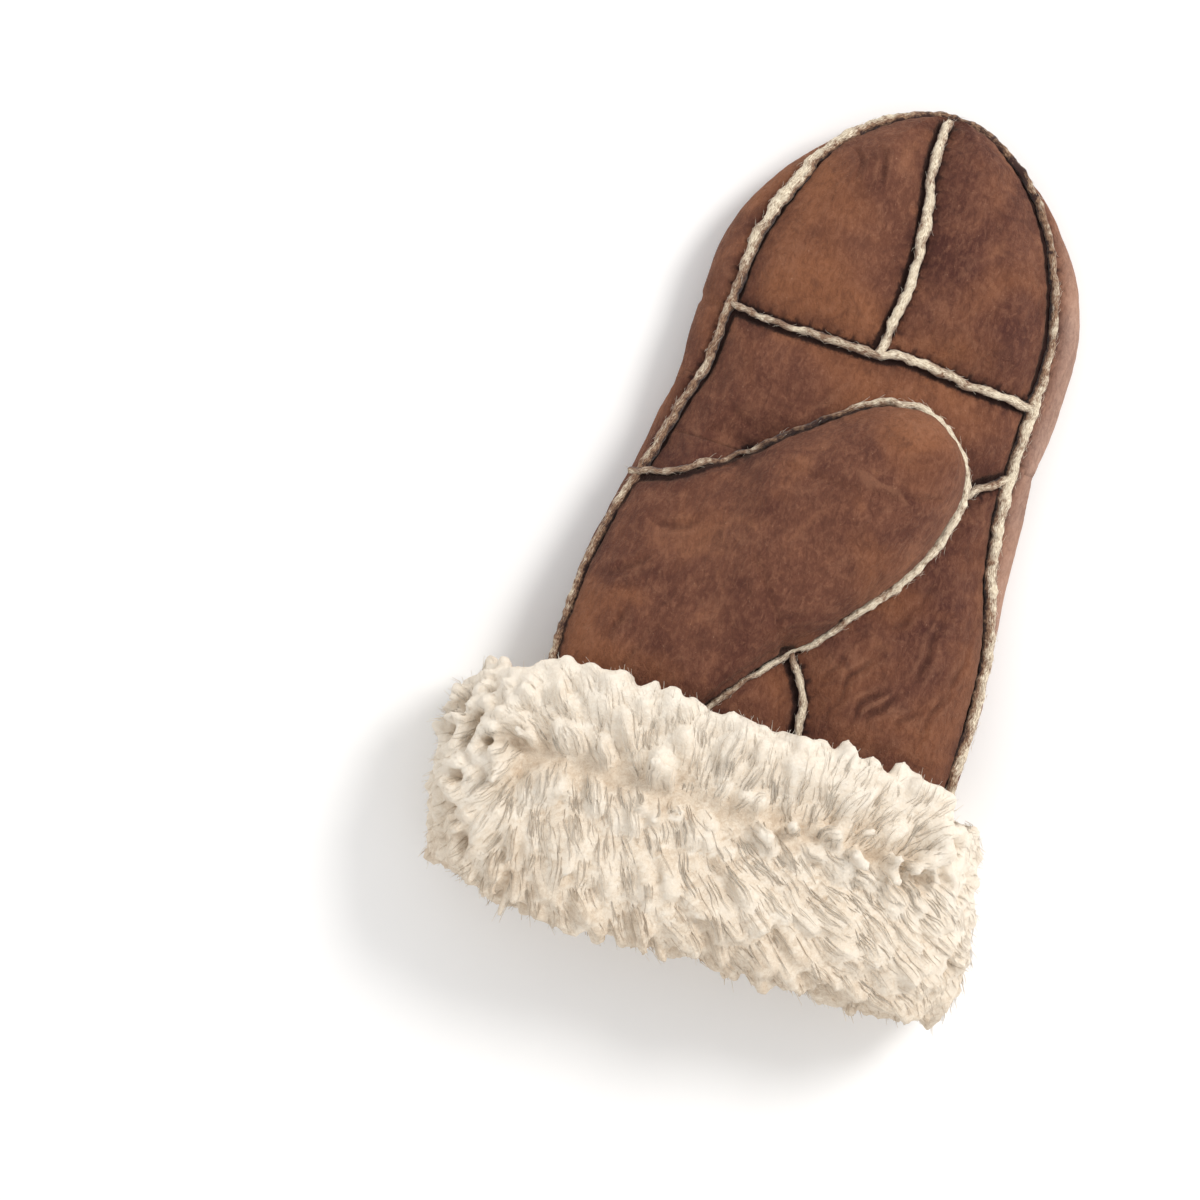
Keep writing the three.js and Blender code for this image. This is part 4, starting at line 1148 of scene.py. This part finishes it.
def frames_of(paths, outs):
    """The directions along paths, beside them, and away from what they lie on."""
    ahead = unit(np.gradient(paths, axis=1))
    beside = unit(np.cross(ahead, outs[:, None] + 1e-3))
    return SimpleNamespace(ahead=ahead, beside=beside, upright=np.cross(beside, ahead))


def tube_faces(count, stations, sides):
    """The faces of some tubes alike, each with a flat start and a pointed end."""
    each = stations * sides + 1
    index, quads = tube_quads(stations, sides)
    end = np.stack([index[-1], np.roll(index[-1], -1), np.full(sides, each - 1)], axis=-1)
    start = index[:1, ::-1]
    offset = (np.arange(count) * each)[:, None, None]
    faces = []
    for part in (quads, end, start):
        faces += (part[None] + offset).reshape(-1, part.shape[-1]).tolist()
    return faces


def tubes(paths, outs, wide, thick, sides, flutes, tones):
    """Tapered tubes along paths. wide and thick give each one's half sizes at each station."""
    count, stations = paths.shape[:2]
    turned = frames_of(paths, outs)
    angle = np.linspace(0, 2 * np.pi, sides, endpoint=False)
    phase = rng.uniform(0, 2 * np.pi, (count, 1, 1))
    share = np.linspace(0, 1, stations)[None, :, None]
    flute = 1 + flutes * np.cos(3 * angle[None, None, :] + phase + 1.5 * share)
    wobble = 1 + flutes * 0.7 * np.sin(5 * np.pi * share + 2 * phase + angle)
    side = np.cos(angle)[None, None, :] * wide[..., None] * flute * wobble
    up = np.sin(angle)[None, None, :] * thick[..., None] * flute * wobble
    rings = paths[:, :, None] + side[..., None] * turned.beside[:, :, None]
    rings = rings + up[..., None] * turned.upright[:, :, None]
    tips = paths[:, -1] + turned.ahead[:, -1] * wide[:, -1:] * 0.5
    points = np.concatenate([rings.reshape(count, -1, 3), tips[:, None]], axis=1)
    above_floor(points, WOOL_LOWEST)
    # Each point's tone from root to tip, and its place on its own tube.
    shade = np.broadcast_to(share, (count, stations, sides)).reshape(count, -1)
    shade = np.concatenate([shade, np.ones((count, 1))], axis=1)
    shade = tones[:, :1] + (tones[:, 1:] - tones[:, :1]) * shade
    run = np.linalg.norm(np.diff(paths, axis=1), axis=-1).cumsum(axis=1)
    run = np.concatenate([np.zeros((count, 1)), run], axis=1)
    around = np.abs(angle - np.pi)[None, None, :]
    own = rng.uniform(0, 500, (count, 1, 1))
    strand = np.stack(np.broadcast_arrays(around, run[..., None], own), axis=-1)
    strand = strand.reshape(count, -1, 3)
    strand = np.concatenate([strand, strand[:, -1:]], axis=1)
    return SimpleNamespace(
        points=points.reshape(-1, 3),
        faces=tube_faces(count, stations, sides),
        values={"tip": shade.ravel(), "strand": strand.reshape(-1, 3)},
    )


def joined(bodies):
    """Several bodies as one."""
    starts = np.cumsum([0] + [len(body.points) for body in bodies])
    faces = []
    for body, start in zip(bodies, starts):
        faces += [[corner + int(start) for corner in face] for face in body.faces]
    keys = bodies[0].values
    values = {key: np.concatenate([body.values[key] for body in bodies]) for key in keys}
    points = np.concatenate([body.points for body in bodies])
    return SimpleNamespace(points=points, faces=faces, values=values)


def felted(body, voxel, rounds):
    """One soft skin round closed bodies that overlap. It takes its values from their points."""
    mesh = bpy.data.meshes.new("wool")
    mesh.from_pydata(body.points.tolist(), [], body.faces)
    piece = bpy.data.objects.new("wool", mesh)
    bpy.context.scene.collection.objects.link(piece)
    fuse = piece.modifiers.new("fuse", "REMESH")
    fuse.mode = "VOXEL"
    fuse.voxel_size = voxel
    soften = piece.modifiers.new("soften", "SMOOTH")
    soften.factor = 0.5
    soften.iterations = rounds
    graph = bpy.context.evaluated_depsgraph_get()
    skin = bpy.data.meshes.new_from_object(piece.evaluated_get(graph))
    points = np.empty(3 * len(skin.vertices))
    skin.vertices.foreach_get("co", points)
    points = points.reshape(-1, 3)
    faces = [list(face.vertices) for face in skin.polygons]
    bpy.data.objects.remove(piece)
    bpy.data.meshes.remove(mesh)
    bpy.data.meshes.remove(skin)
    nearest = nearest_in(tree_of(body.points), points)
    above_floor(points, WOOL_LOWEST)
    values = {key: value[nearest] for key, value in body.values.items()}
    return SimpleNamespace(points=points, faces=faces, values=values)


def add_wool(name, node, body, finish):
    add_object(name, node, body.points, body.faces, [finish], body.values)


FUZZ_PER_MM = 1.6
FUZZ_LENGTH = 2.0
FUZZ_RADIUS = 0.06


def seam_fuzz(ridges):
    """Loose wool fibres that stand out of the seams."""
    roots, outs, headings = [], [], []
    for ridge in ridges:
        count = len(ridge.tops)
        wanted = int(count * SEAM_STEP * FUZZ_PER_MM)
        pick = rng.integers(0, count, wanted)
        keep = rng.random(wanted) < np.clip(ridge.wool[pick] * 1.3 - 0.25, 0, 1)
        pick = pick[keep]
        side = rng.uniform(-0.45, 0.45, (len(pick), 1)) * ridge.width[pick, None]
        roots.append(ridge.tops[pick] + side * ridge.beside[pick] - 0.25 * ridge.upright[pick])
        along = ridge.ahead[pick] * rng.choice([-1.0, 1.0], (len(pick), 1))
        outs.append(unit(0.5 * ridge.upright[pick] + along + rng.normal(0, 0.35, (len(pick), 3))))
        headings.append(unit(along + 0.5 * ridge.beside[pick] * np.sign(side)))
    roots, outs, headings = (np.concatenate(part) for part in (roots, outs, headings))
    count = len(roots)
    lengths = FUZZ_LENGTH * rng.uniform(0.5, 1.4, count)
    paths = strand_paths(roots, outs, headings, lengths, rng.uniform(0.1, 0.5, count), 4, 0.25)
    taper = np.array([1.0, 0.9, 0.7, 0.3])[None, :] * np.ones((count, 1)) * FUZZ_RADIUS
    shade = np.stack([np.full(count, 0.3), rng.uniform(0.6, 1.0, count)], axis=-1)
    fuzz = tubes(paths, outs, taper, taper, 3, 0.0, shade)
    add_wool("seam_fuzz", None, fuzz, FLEECE)


def make_seams():
    ridges = []
    for seed, (name, stations) in enumerate(skin_seams.items()):
        ridges.append(seam_ridge(name, stations, VALLEY_DEPTH, 100 + 10 * seed))
    ridges.append(seam_ridge("thumb_seam", thumb_seam, 0.3, 300))
    seam_fuzz(ridges)


# The turned-back cuff. Its rings are like the hand's surface, offset outwards.
FOLD_RADIUS = LEATHER + CUFF_GAP / 2
FOLD_Y = FOLD_RADIUS - CUFF_DEPTH
OUTER_FACE = CUFF_GAP + LEATHER + CLEARANCE
LINING_FACE = -LEATHER - CLEARANCE
CUFF_SECTIONS = 200


def cuff_point(y, offset, turn):
    return smooth_skin(y, turn, -np.asarray(offset))


def fold_arc(radius, count, start=0.0, end=1.0):
    turn = np.pi * (1 + np.linspace(start, end, count))
    return [(FOLD_Y + radius * math.sin(t), CUFF_GAP / 2 + radius * math.cos(t)) for t in turn]


def cuff_ring(profile, around):
    """Points of a ring of one closed profile, row by row round the cuff."""
    turn = np.linspace(0, 2 * np.pi, around, endpoint=False)[:, None]
    profile = np.array(profile)
    return cuff_point(profile[None, :, 0], profile[None, :, 1], turn)


def make_cuff_leather():
    top = -SEAM_WIDTH / 2 - CLEARANCE
    profile = [(top, -LEATHER)] + fold_arc(FOLD_RADIUS, 10) + [(-CUFF_HEM, CUFF_GAP + LEATHER)]
    profile += [(-CUFF_HEM, CUFF_GAP)] + fold_arc(CUFF_GAP / 2, 6)[::-1]
    profile += [(-CUFF_HEM, 0.0), (top, 0.0)]
    points = cuff_ring(profile, CUFF_SECTIONS).reshape(-1, 3)
    values = {key: np.full(len(points), 20.0) for key in ("seam_far", "seam_side", "seam_run")}
    values |= {key: np.zeros(len(points)) for key in ("tone", "pale", "fold")}
    faces = ring_faces(CUFF_SECTIONS, len(profile))
    add_object("cuff_suede", ["cuff_leather"], points, faces.tolist(), [SUEDE], values)


# How thick the outer fleece is from the hem, 0, to the fold, 1, as in the solids.
FLEECE_FORM = table(
    "along palm back left right",
    (0, 1.0, 0.6, 0.75, 0.15),
    (0.25, 1.3, 0.625, 1.45, 0.3),
    (0.5, 1.3, 0.625, 1.35, 0.75),
    (0.75, 1.2, 0.625, 0.95, 0.9),
    (1, 0.95, 0.5, 0.6, 0.45),
)
END_FROM = 0.6
END_TO = 0.97
FLEECE_END = FOLD_Y - FLEECE_BACKING / 2


def round_cuff(turn, face, left, right):
    """A value at a turn round the cuff, from those on its faces and at its two ends."""
    end = smoothstep(np.abs(np.cos(turn)), END_FROM, END_TO)
    return face + (np.where(np.cos(turn) > 0, right, left) - face) * end


def fleece_form(place, turn):
    names = ("palm", "back", "left", "right")
    palm, back, left, right = (column(FLEECE_FORM, name, place) for name in names)
    return round_cuff(turn, np.where(np.sin(turn) > 0, palm, back), left, right)


def fleece_y(place):
    return -CUFF_HEM + (FLEECE_END + CUFF_HEM) * place


BACKING_SHARE = 0.74
BACKING_LUMPS = ((1.0, 6.0), (0.6, 2.5))
BACKING_SECTIONS = 240


def fleece_backing():
    """The thick wool under the locks, round the outside, over the fold and into the mouth."""
    around = BACKING_SECTIONS
    turn = np.linspace(0, 2 * np.pi, around, endpoint=False)[:, None]
    place = np.linspace(0, 1, 34)[None, :]
    deep = BACKING_SHARE * FLEECE_BACKING * fleece_form(place, turn)
    outside = cuff_point(fleece_y(place), OUTER_FACE + deep, turn)
    front = cuff_ring([(-CUFF_HEM + 1.5, OUTER_FACE)], around)
    over = cuff_ring(fold_arc(FOLD_RADIUS + 4.6, 14)[::-1], around)
    liner_y = np.linspace(FOLD_Y, LINING_DEPTH - CUFF_DEPTH, 24)
    liner = cuff_ring([(y, LINING_FACE - LINING_BACKING) for y in liner_y], around)
    back = [(LINING_DEPTH - CUFF_DEPTH, LINING_FACE)] + fold_arc(FOLD_RADIUS + CLEARANCE, 8)
    points = np.concatenate([front, outside, over, liner, cuff_ring(back, around)], axis=1)
    centre = points.mean(axis=(0, 1))
    moved = points.shape[1] - len(back)
    push = unit(points - centre) * uneven(points, BACKING_LUMPS, 70)[..., None]
    points[:, 1:moved] += push[:, 1:moved]
    count = points.shape[1]
    points = points.reshape(-1, 3)
    above_floor(points, BACKING_LOWEST)
    strand = np.stack([points[:, 0] * 0.6, points[:, 1] * 0.8, points[:, 2] * 0.6], axis=-1)
    # Its darker tone is painted shade under the locks.
    values = {"tip": np.full(len(points), 0.3), "strand": strand}
    return SimpleNamespace(points=points, faces=ring_faces(around, count).tolist(), values=values)


def spread(count, spread_seed):
    """Evenly scattered pairs of shares."""
    i = np.arange(count)
    first = (i + 0.5) / count
    second = (i * 0.6180339887 + spread_seed) % 1.0
    return first, second


# How wide a lock is from its root to its tip.
LOCK_PROFILE = np.array([0.7, 0.9, 1.0, 1.1, 1.15, 1.15, 1.0])
LOCK_FLATNESS = 0.72
# How much tanner the locks' tips are at the fold than at the hem: painted shade, as the fold's wool
# faces away from the light, and partly wear.
FOLD_SHADE_AND_WEAR = 0.45


def lock_sizes(count, half_wide):
    wide = half_wide * rng.uniform(0.75, 1.25, (count, 1)) * LOCK_PROFILE[None, :]
    return wide, wide * rng.uniform(LOCK_FLATNESS - 0.12, LOCK_FLATNESS + 0.12, (count, 1))


def to_fingers(out):
    """The directions along the cuff's surface to the fingers."""
    return unit(np.array([0.0, 1.0, 0.0]) - out * out[:, 1:2])


# How the outer locks lie from the hem, 0, to the fold, 1, on the faces and at the cuff's two
# ends: lean in degrees from straight out, plus to the fingers, and length in millimetres.
FLOW = table(
    "along top left right top_long left_long right_long",
    (0.0, 72, 35, -30, 14, 8, 5),
    (0.2, 74, 12, -45, 16, 10, 8),
    (0.31, 72, -10, -50, 12, 11, 9),
    (0.34, -72, -25, -54, 12, 11, 11),
    (0.7, -78, -42, -62, 18, 11, 13),
    (1.0, -84, -60, -72, 18, 10, 12),
)
# How the locks fan out in plan, by their place across the cuff in millimetres: degrees to the
# right of straight up for those that point to the fingers, and of straight down for the others.
FAN = table(
    "along up down",
    (-70, -46, -25),
    (-55, -34, 12),
    (-35, -20, 26),
    (-5, -6, 50),
    (30, 14, 56),
    (62, 32, 50),
)
TURN_SHARES = 4000


def even_turns(share):
    """Turns spread evenly by length round the cuff's outside."""
    turn = np.linspace(0, 2 * np.pi, TURN_SHARES)
    line = cuff_point(-25.0, OUTER_FACE + FLEECE_BACKING, turn)
    lengths = lengths_of(line)
    return np.interp(share * lengths[-1], lengths, turn)


def flow_of(place, turn, root, out, wild):
    """Where the outer locks head, and how long they are."""
    count = len(place)
    sides = ("top", "left", "right")
    lean = round_cuff(turn, *(column(FLOW, side, place) for side in sides))
    long = round_cuff(turn, *(column(FLOW, side + "_long", place) for side in sides))
    under = smoothstep(-np.sin(turn), 0.3, 0.75)
    lean = np.where(under > 0.5, np.sign(lean) * 82, lean)
    lean = np.radians(lean + rng.normal(0, wild, count) + 8 * noise(root, 15, 75))
    up = lean > 0
    fan = np.where(up, column(FAN, "up", root[:, 0]), column(FAN, "down", root[:, 0]))
    fan = np.radians(fan + rng.normal(0, wild, count) + 20 * noise(root, 16, 76))
    plan = np.stack([np.sin(fan), np.where(up, 1, -1) * np.cos(fan), 0 * fan], axis=-1)
    tangent = unit(plan - out * np.sum(plan * out, axis=-1, keepdims=True))
    heading = out * np.cos(lean)[:, None] + tangent * np.abs(np.sin(lean))[:, None]
    return unit(heading), long * (1 - 0.2 * under), under


def clumped(paths, every, pull):
    """Locks drawn together towards their tips, each to the nearest of some leaders."""
    leaders = paths[::every]
    nearest = nearest_in(tree_of(leaders[:, 0]), paths[:, 0])
    share = np.linspace(0, 1, paths.shape[1])[None, :, None] ** 1.3
    return paths + pull * share * (leaders[nearest] - paths)


STRAND_TAPER = np.array([0.7, 1.0, 0.9, 0.4])
# The usual tone of a lock's tip. A strand is as much paler or tanner as its lock is.
USUAL_TONE = 0.82


class Locks:
    """Locks of wool along paths, and the fine strands that lie on them."""

    def __init__(self, paths, outs, half_wide, tones):
        self.paths = paths
        self.outs = outs
        self.wide, self.thick = lock_sizes(len(paths), half_wide)
        self.tones = tones

    def bodies(self):
        return tubes(self.paths, self.outs, self.wide, self.thick, 6, 0.12, self.tones)

    def at(self, which, share):
        """Points, frames and sizes of locks at shares of their length, also past their tips."""
        last = self.paths.shape[1] - 1
        place = share * last
        i = np.clip(place.astype(int), 0, last - 1)
        part = (place - i)[..., None]
        turned = frames_of(self.paths, self.outs)
        rows = which[:, None]

        def mid(values):
            return values[rows, i] + (values[rows, i + 1] - values[rows, i]) * part

        wide = mid(self.wide[..., None])[..., 0]
        thick = mid(self.thick[..., None])[..., 0]
        return mid(self.paths), mid(turned.beside), mid(turned.upright), wide, thick

    def strands(self, name, per_lock, half_wide, shade):
        """Adds fine strands. shade gives the range of their tips' tones."""
        count = int(len(self.paths) * per_lock)
        which = rng.integers(0, len(self.paths), count)
        start = rng.uniform(0.0, 0.5, (count, 1))
        long = rng.uniform(0.5, 0.75, (count, 1))
        share = np.minimum(start + long * np.linspace(0, 1, 4)[None, :], 1.15)
        centre, beside, upright, wide, thick = self.at(which, share)
        angle = rng.uniform(0.15 * np.pi, 0.85 * np.pi, (count, 1))
        angle = angle + rng.uniform(-0.4, 0.4, (count, 1)) * share
        reach = rng.uniform(1.0, 1.25, (count, 1)) + 0.2 * share * rng.random((count, 1))
        wave = 0.22 * np.sin(2 * np.pi * (1.6 * share + rng.random((count, 1))))
        side = np.maximum(wide, 0.8) * np.cos(angle) * reach + wave
        up = np.maximum(thick, 0.5) * np.sin(angle) * reach + wave * 0.5
        paths = centre + side[..., None] * beside + up[..., None] * upright
        taper = STRAND_TAPER[None, :] * half_wide * rng.uniform(0.7, 1.3, (count, 1))
        tip = rng.uniform(shade[0], shade[1], count) + self.tones[which, 1] - USUAL_TONE
        tones = np.stack([tip - 0.25 + 0.35 * start[:, 0], tip], axis=-1)
        add_wool(name, None, tubes(paths, self.outs[which], taper, taper, 3, 0.0, tones), FLEECE)


def lock_kind(count, half_wide, scatter, crimp, droop=0.0):
    made = int(count * (1.0))
    return SimpleNamespace(count=made, half_wide=half_wide, scatter=scatter, crimp=crimp, droop=droop)


# Each kind of lock: how many there are, half their width in millimetres, how they are scattered,
# how wavy they are and how far they droop.
OUTER_LOCKS = lock_kind(2400, 1.8, 0.13, 0.9, 0.4)
FOLD_LOCKS = lock_kind(700, 2.1, 0.31, 0.8, 0.35)
MOUTH_LOCKS = lock_kind(460, 2.0, 0.4, 0.8)
# The hand's surface ends here, so locks past it take their place from here.
LOWEST_ROOT = -0.279 * HAND_LENGTH


def outer_locks(kind):
    count = kind.count
    first, second = spread(count, kind.scatter)
    place = np.clip(first + rng.normal(0, 0.02, count), 0, 1)
    turn = even_turns((second + rng.normal(0, 0.004, count)) % 1.0)
    hidden = (np.sin(turn) < -0.75) & (rng.random(count) < 0.6)
    place, turn = place[~hidden], turn[~hidden]
    count = len(place)
    form = fleece_form(place, turn) * FLEECE_BACKING
    offset = OUTER_FACE + rng.uniform(0.6, 0.85, count) * form
    root = cuff_point(fleece_y(place), offset, turn)
    out = outward(fleece_y(place), turn)
    heading, lengths, under = flow_of(place, turn, root, out, 7)
    lengths = lengths * rng.uniform(0.8, 1.1, count)
    rise = rng.uniform(0.0, 0.25, count) * (1 - 0.8 * under)
    paths = strand_paths(root, out, heading, lengths, rise, len(LOCK_PROFILE), kind.crimp, kind.droop)
    order = rng.permutation(count)
    paths, out = clumped(paths[order], 4, 0.2), out[order]
    half_wide = kind.half_wide * (1 + 0.35 * (1 - smoothstep(place[order], 0.05, 0.3)))[:, None]
    # Painted shade, with some wear: the locks' tips grow tanner towards the fold, which faces away
    # from the light.
    shade_and_wear = FOLD_SHADE_AND_WEAR * smoothstep(place[order], 0.4, 1.0)
    tones = np.stack([rng.uniform(0.15, 0.4, count), rng.uniform(0.7, 0.95, count) - shade_and_wear], -1)
    return Locks(paths, out, half_wide, tones)


def fold_locks(kind):
    """Locks on the fold, which hang out past it and down."""
    count = kind.count
    first, second = spread(count, kind.scatter)
    bend = np.pi * (0.25 + 0.6 * (1 - first))
    radius = FOLD_RADIUS + 3.0
    y = FOLD_Y - radius * np.sin(bend)
    offset = CUFF_GAP / 2 - radius * np.cos(bend)
    turn = even_turns((second + rng.normal(0, 0.004, count)) % 1.0)
    inside = np.maximum(y, LOWEST_ROOT)
    root = cuff_point(inside, offset, turn)
    root[:, 1] = y
    out = outward(inside, turn)
    away = unit(-to_fingers(out) * np.sin(bend)[:, None] - out * np.cos(bend)[:, None])
    under = smoothstep(-np.sin(turn), 0.2, 0.7)
    fan = np.radians(column(FAN, "down", root[:, 0]))
    plan = np.stack([np.sin(fan), -np.cos(fan), 0 * fan], axis=-1)
    heading = unit(0.6 * away + plan + rng.normal(0, 0.2, (count, 3)))
    ends = smoothstep(np.abs(np.cos(turn)), 0.8, 0.97)
    lengths = rng.uniform(8, 13, count) * (1 - 0.2 * under) * (1 - 0.35 * ends)
    rise = rng.uniform(0.1, 0.4, count)
    paths = strand_paths(root, away, heading, lengths, rise, len(LOCK_PROFILE), kind.crimp, kind.droop)
    order = rng.permutation(count)
    paths, away = clumped(paths[order], 4, 0.2), away[order]
    # The fold's locks take the whole painted shade, with some wear, of the fold.
    tones = np.stack([rng.uniform(0.1, 0.3, count), rng.uniform(0.6, 0.9, count) - FOLD_SHADE_AND_WEAR], -1)
    return Locks(paths, away, kind.half_wide, tones)


def mouth_locks(kind):
    """Shorter curls that line the mouth."""
    count = kind.count
    first, second = spread(count, kind.scatter)
    y = FOLD_Y + (LINING_DEPTH - CUFF_DEPTH - FOLD_Y) * first
    turn = even_turns((second + rng.normal(0, 0.006, count)) % 1.0)
    root = cuff_point(y, LINING_FACE - 2.0, turn)
    out = outward(y, turn)
    fingers = to_fingers(out)
    sideways = unit(np.cross(fingers, out))
    lean = np.radians(rng.normal(-55, 25, count))
    side = rng.normal(0, 0.6, (count, 1))
    heading = unit(fingers * np.sin(lean)[:, None] - out * np.cos(lean)[:, None] + sideways * side)
    lengths = rng.uniform(5, 8, count)
    rise = rng.uniform(0.1, 0.6, count)
    paths = strand_paths(root, -out, heading, lengths, rise, len(LOCK_PROFILE), kind.crimp)
    tones = np.stack([np.full(count, 0.2), rng.uniform(0.5, 0.85, count)], -1)
    return Locks(clumped(paths, 5, 0.4), -out, kind.half_wide, tones)


# The size of the felted skin's cells in millimetres, and how often it is smoothed.
FELT_CELL = 1.2
FELT_ROUNDS = 3


def make_fleece():
    outer = outer_locks(OUTER_LOCKS)
    fold = fold_locks(FOLD_LOCKS)
    mouth = mouth_locks(MOUTH_LOCKS)
    bodies = [fleece_backing()] + [locks.bodies() for locks in (outer, fold, mouth)]
    wool = felted(joined(bodies), FELT_CELL, FELT_ROUNDS)
    add_wool("fleece_wool", ["cuff_fleece", "mouth_fleece"], wool, FELTED_FLEECE)
    outer.strands("fleece_strands_low", 3.0, 0.12, (0.45, 0.85))
    outer.strands("fleece_strands_high", 3.6, 0.12, (0.8, 1.1))
    fold.strands("fleece_fold_strands", 5, 0.13, (0.5, 1.0))


# Floor, lights and camera.
PHOTO_WIDTH = 0.36
CAMERA_ROLL = 18
CAMERA_LENS = 200
CAMERA_SENSOR = 36
VIEW_CENTRE = (-56.3, 28.6, 27.0)
FLOOR_REACH = 6.0
FLOOR_COLOUR = (0.985, 0.98, 0.975, 1.0)
FLOOR_ROUGHNESS = 0.9
SKY_COLOUR = (1.0, 1.0, 1.0, 1.0)
SKY_STRENGTH = 0.86
# The key light's place in metres: to the right in the picture, to its top, and up.
KEY_PLACE = (0.95, 0.55, 1.3)
KEY_SIZE = 0.6
KEY_POWER = 15.0
KEY_COLOUR = (1.0, 0.98, 0.95)
LIGHT_AIM = (0, 0, 0.03)


def make_floor():
    mesh = bpy.data.meshes.new("floor")
    signs = [(-1, -1), (1, -1), (1, 1), (-1, 1)]
    corners = [(FLOOR_REACH * x, FLOOR_REACH * y, 0) for x, y in signs]
    mesh.from_pydata(corners, [], [(0, 1, 2, 3)])
    made = Finish("floor")
    mesh.materials.append(made.finish(FLOOR_COLOUR, FLOOR_ROUGHNESS))
    floor = bpy.data.objects.new("floor", mesh)
    bpy.context.scene.collection.objects.link(floor)


def make_sky():
    world = bpy.data.worlds.new("world")
    world.use_nodes = True
    sky = world.node_tree.nodes["Background"].inputs
    sky["Color"].default_value = SKY_COLOUR
    sky["Strength"].default_value = SKY_STRENGTH
    bpy.context.scene.world = world


def make_key_light():
    light = bpy.data.lights.new("key", "AREA")
    light.shape = "DISK"
    light.size = KEY_SIZE
    light.energy = KEY_POWER
    light.color = KEY_COLOUR
    roll = math.radians(CAMERA_ROLL)
    right = np.array([math.cos(roll), math.sin(roll)])
    top = np.array([-math.sin(roll), math.cos(roll)])
    plan = KEY_PLACE[0] * right + KEY_PLACE[1] * top
    place = Vector((plan[0], plan[1], KEY_PLACE[2]))
    holder = bpy.data.objects.new("key", light)
    holder.location = place
    holder.rotation_euler = (Vector(LIGHT_AIM) - place).to_track_quat("-Z", "Y").to_euler()
    bpy.context.scene.collection.objects.link(holder)


def make_camera():
    camera = bpy.data.cameras.new("camera")
    camera.lens = CAMERA_LENS
    camera.sensor_width = CAMERA_SENSOR
    holder = bpy.data.objects.new("camera", camera)
    distance = PHOTO_WIDTH * CAMERA_LENS / CAMERA_SENSOR
    holder.location = Vector((ORIGIN + VIEW_CENTRE) / 1000) + Vector((0, 0, distance))
    holder.rotation_euler = (0, 0, math.radians(CAMERA_ROLL))
    bpy.context.scene.collection.objects.link(holder)
    bpy.context.scene.camera = holder


make_palm()
make_back()
make_thumb()
make_thumb_underside()
make_seams()
make_cuff_leather()
make_fleece()
make_floor()
make_sky()
make_key_light()
make_camera()
bpy.context.scene.view_settings.view_transform = "Standard"
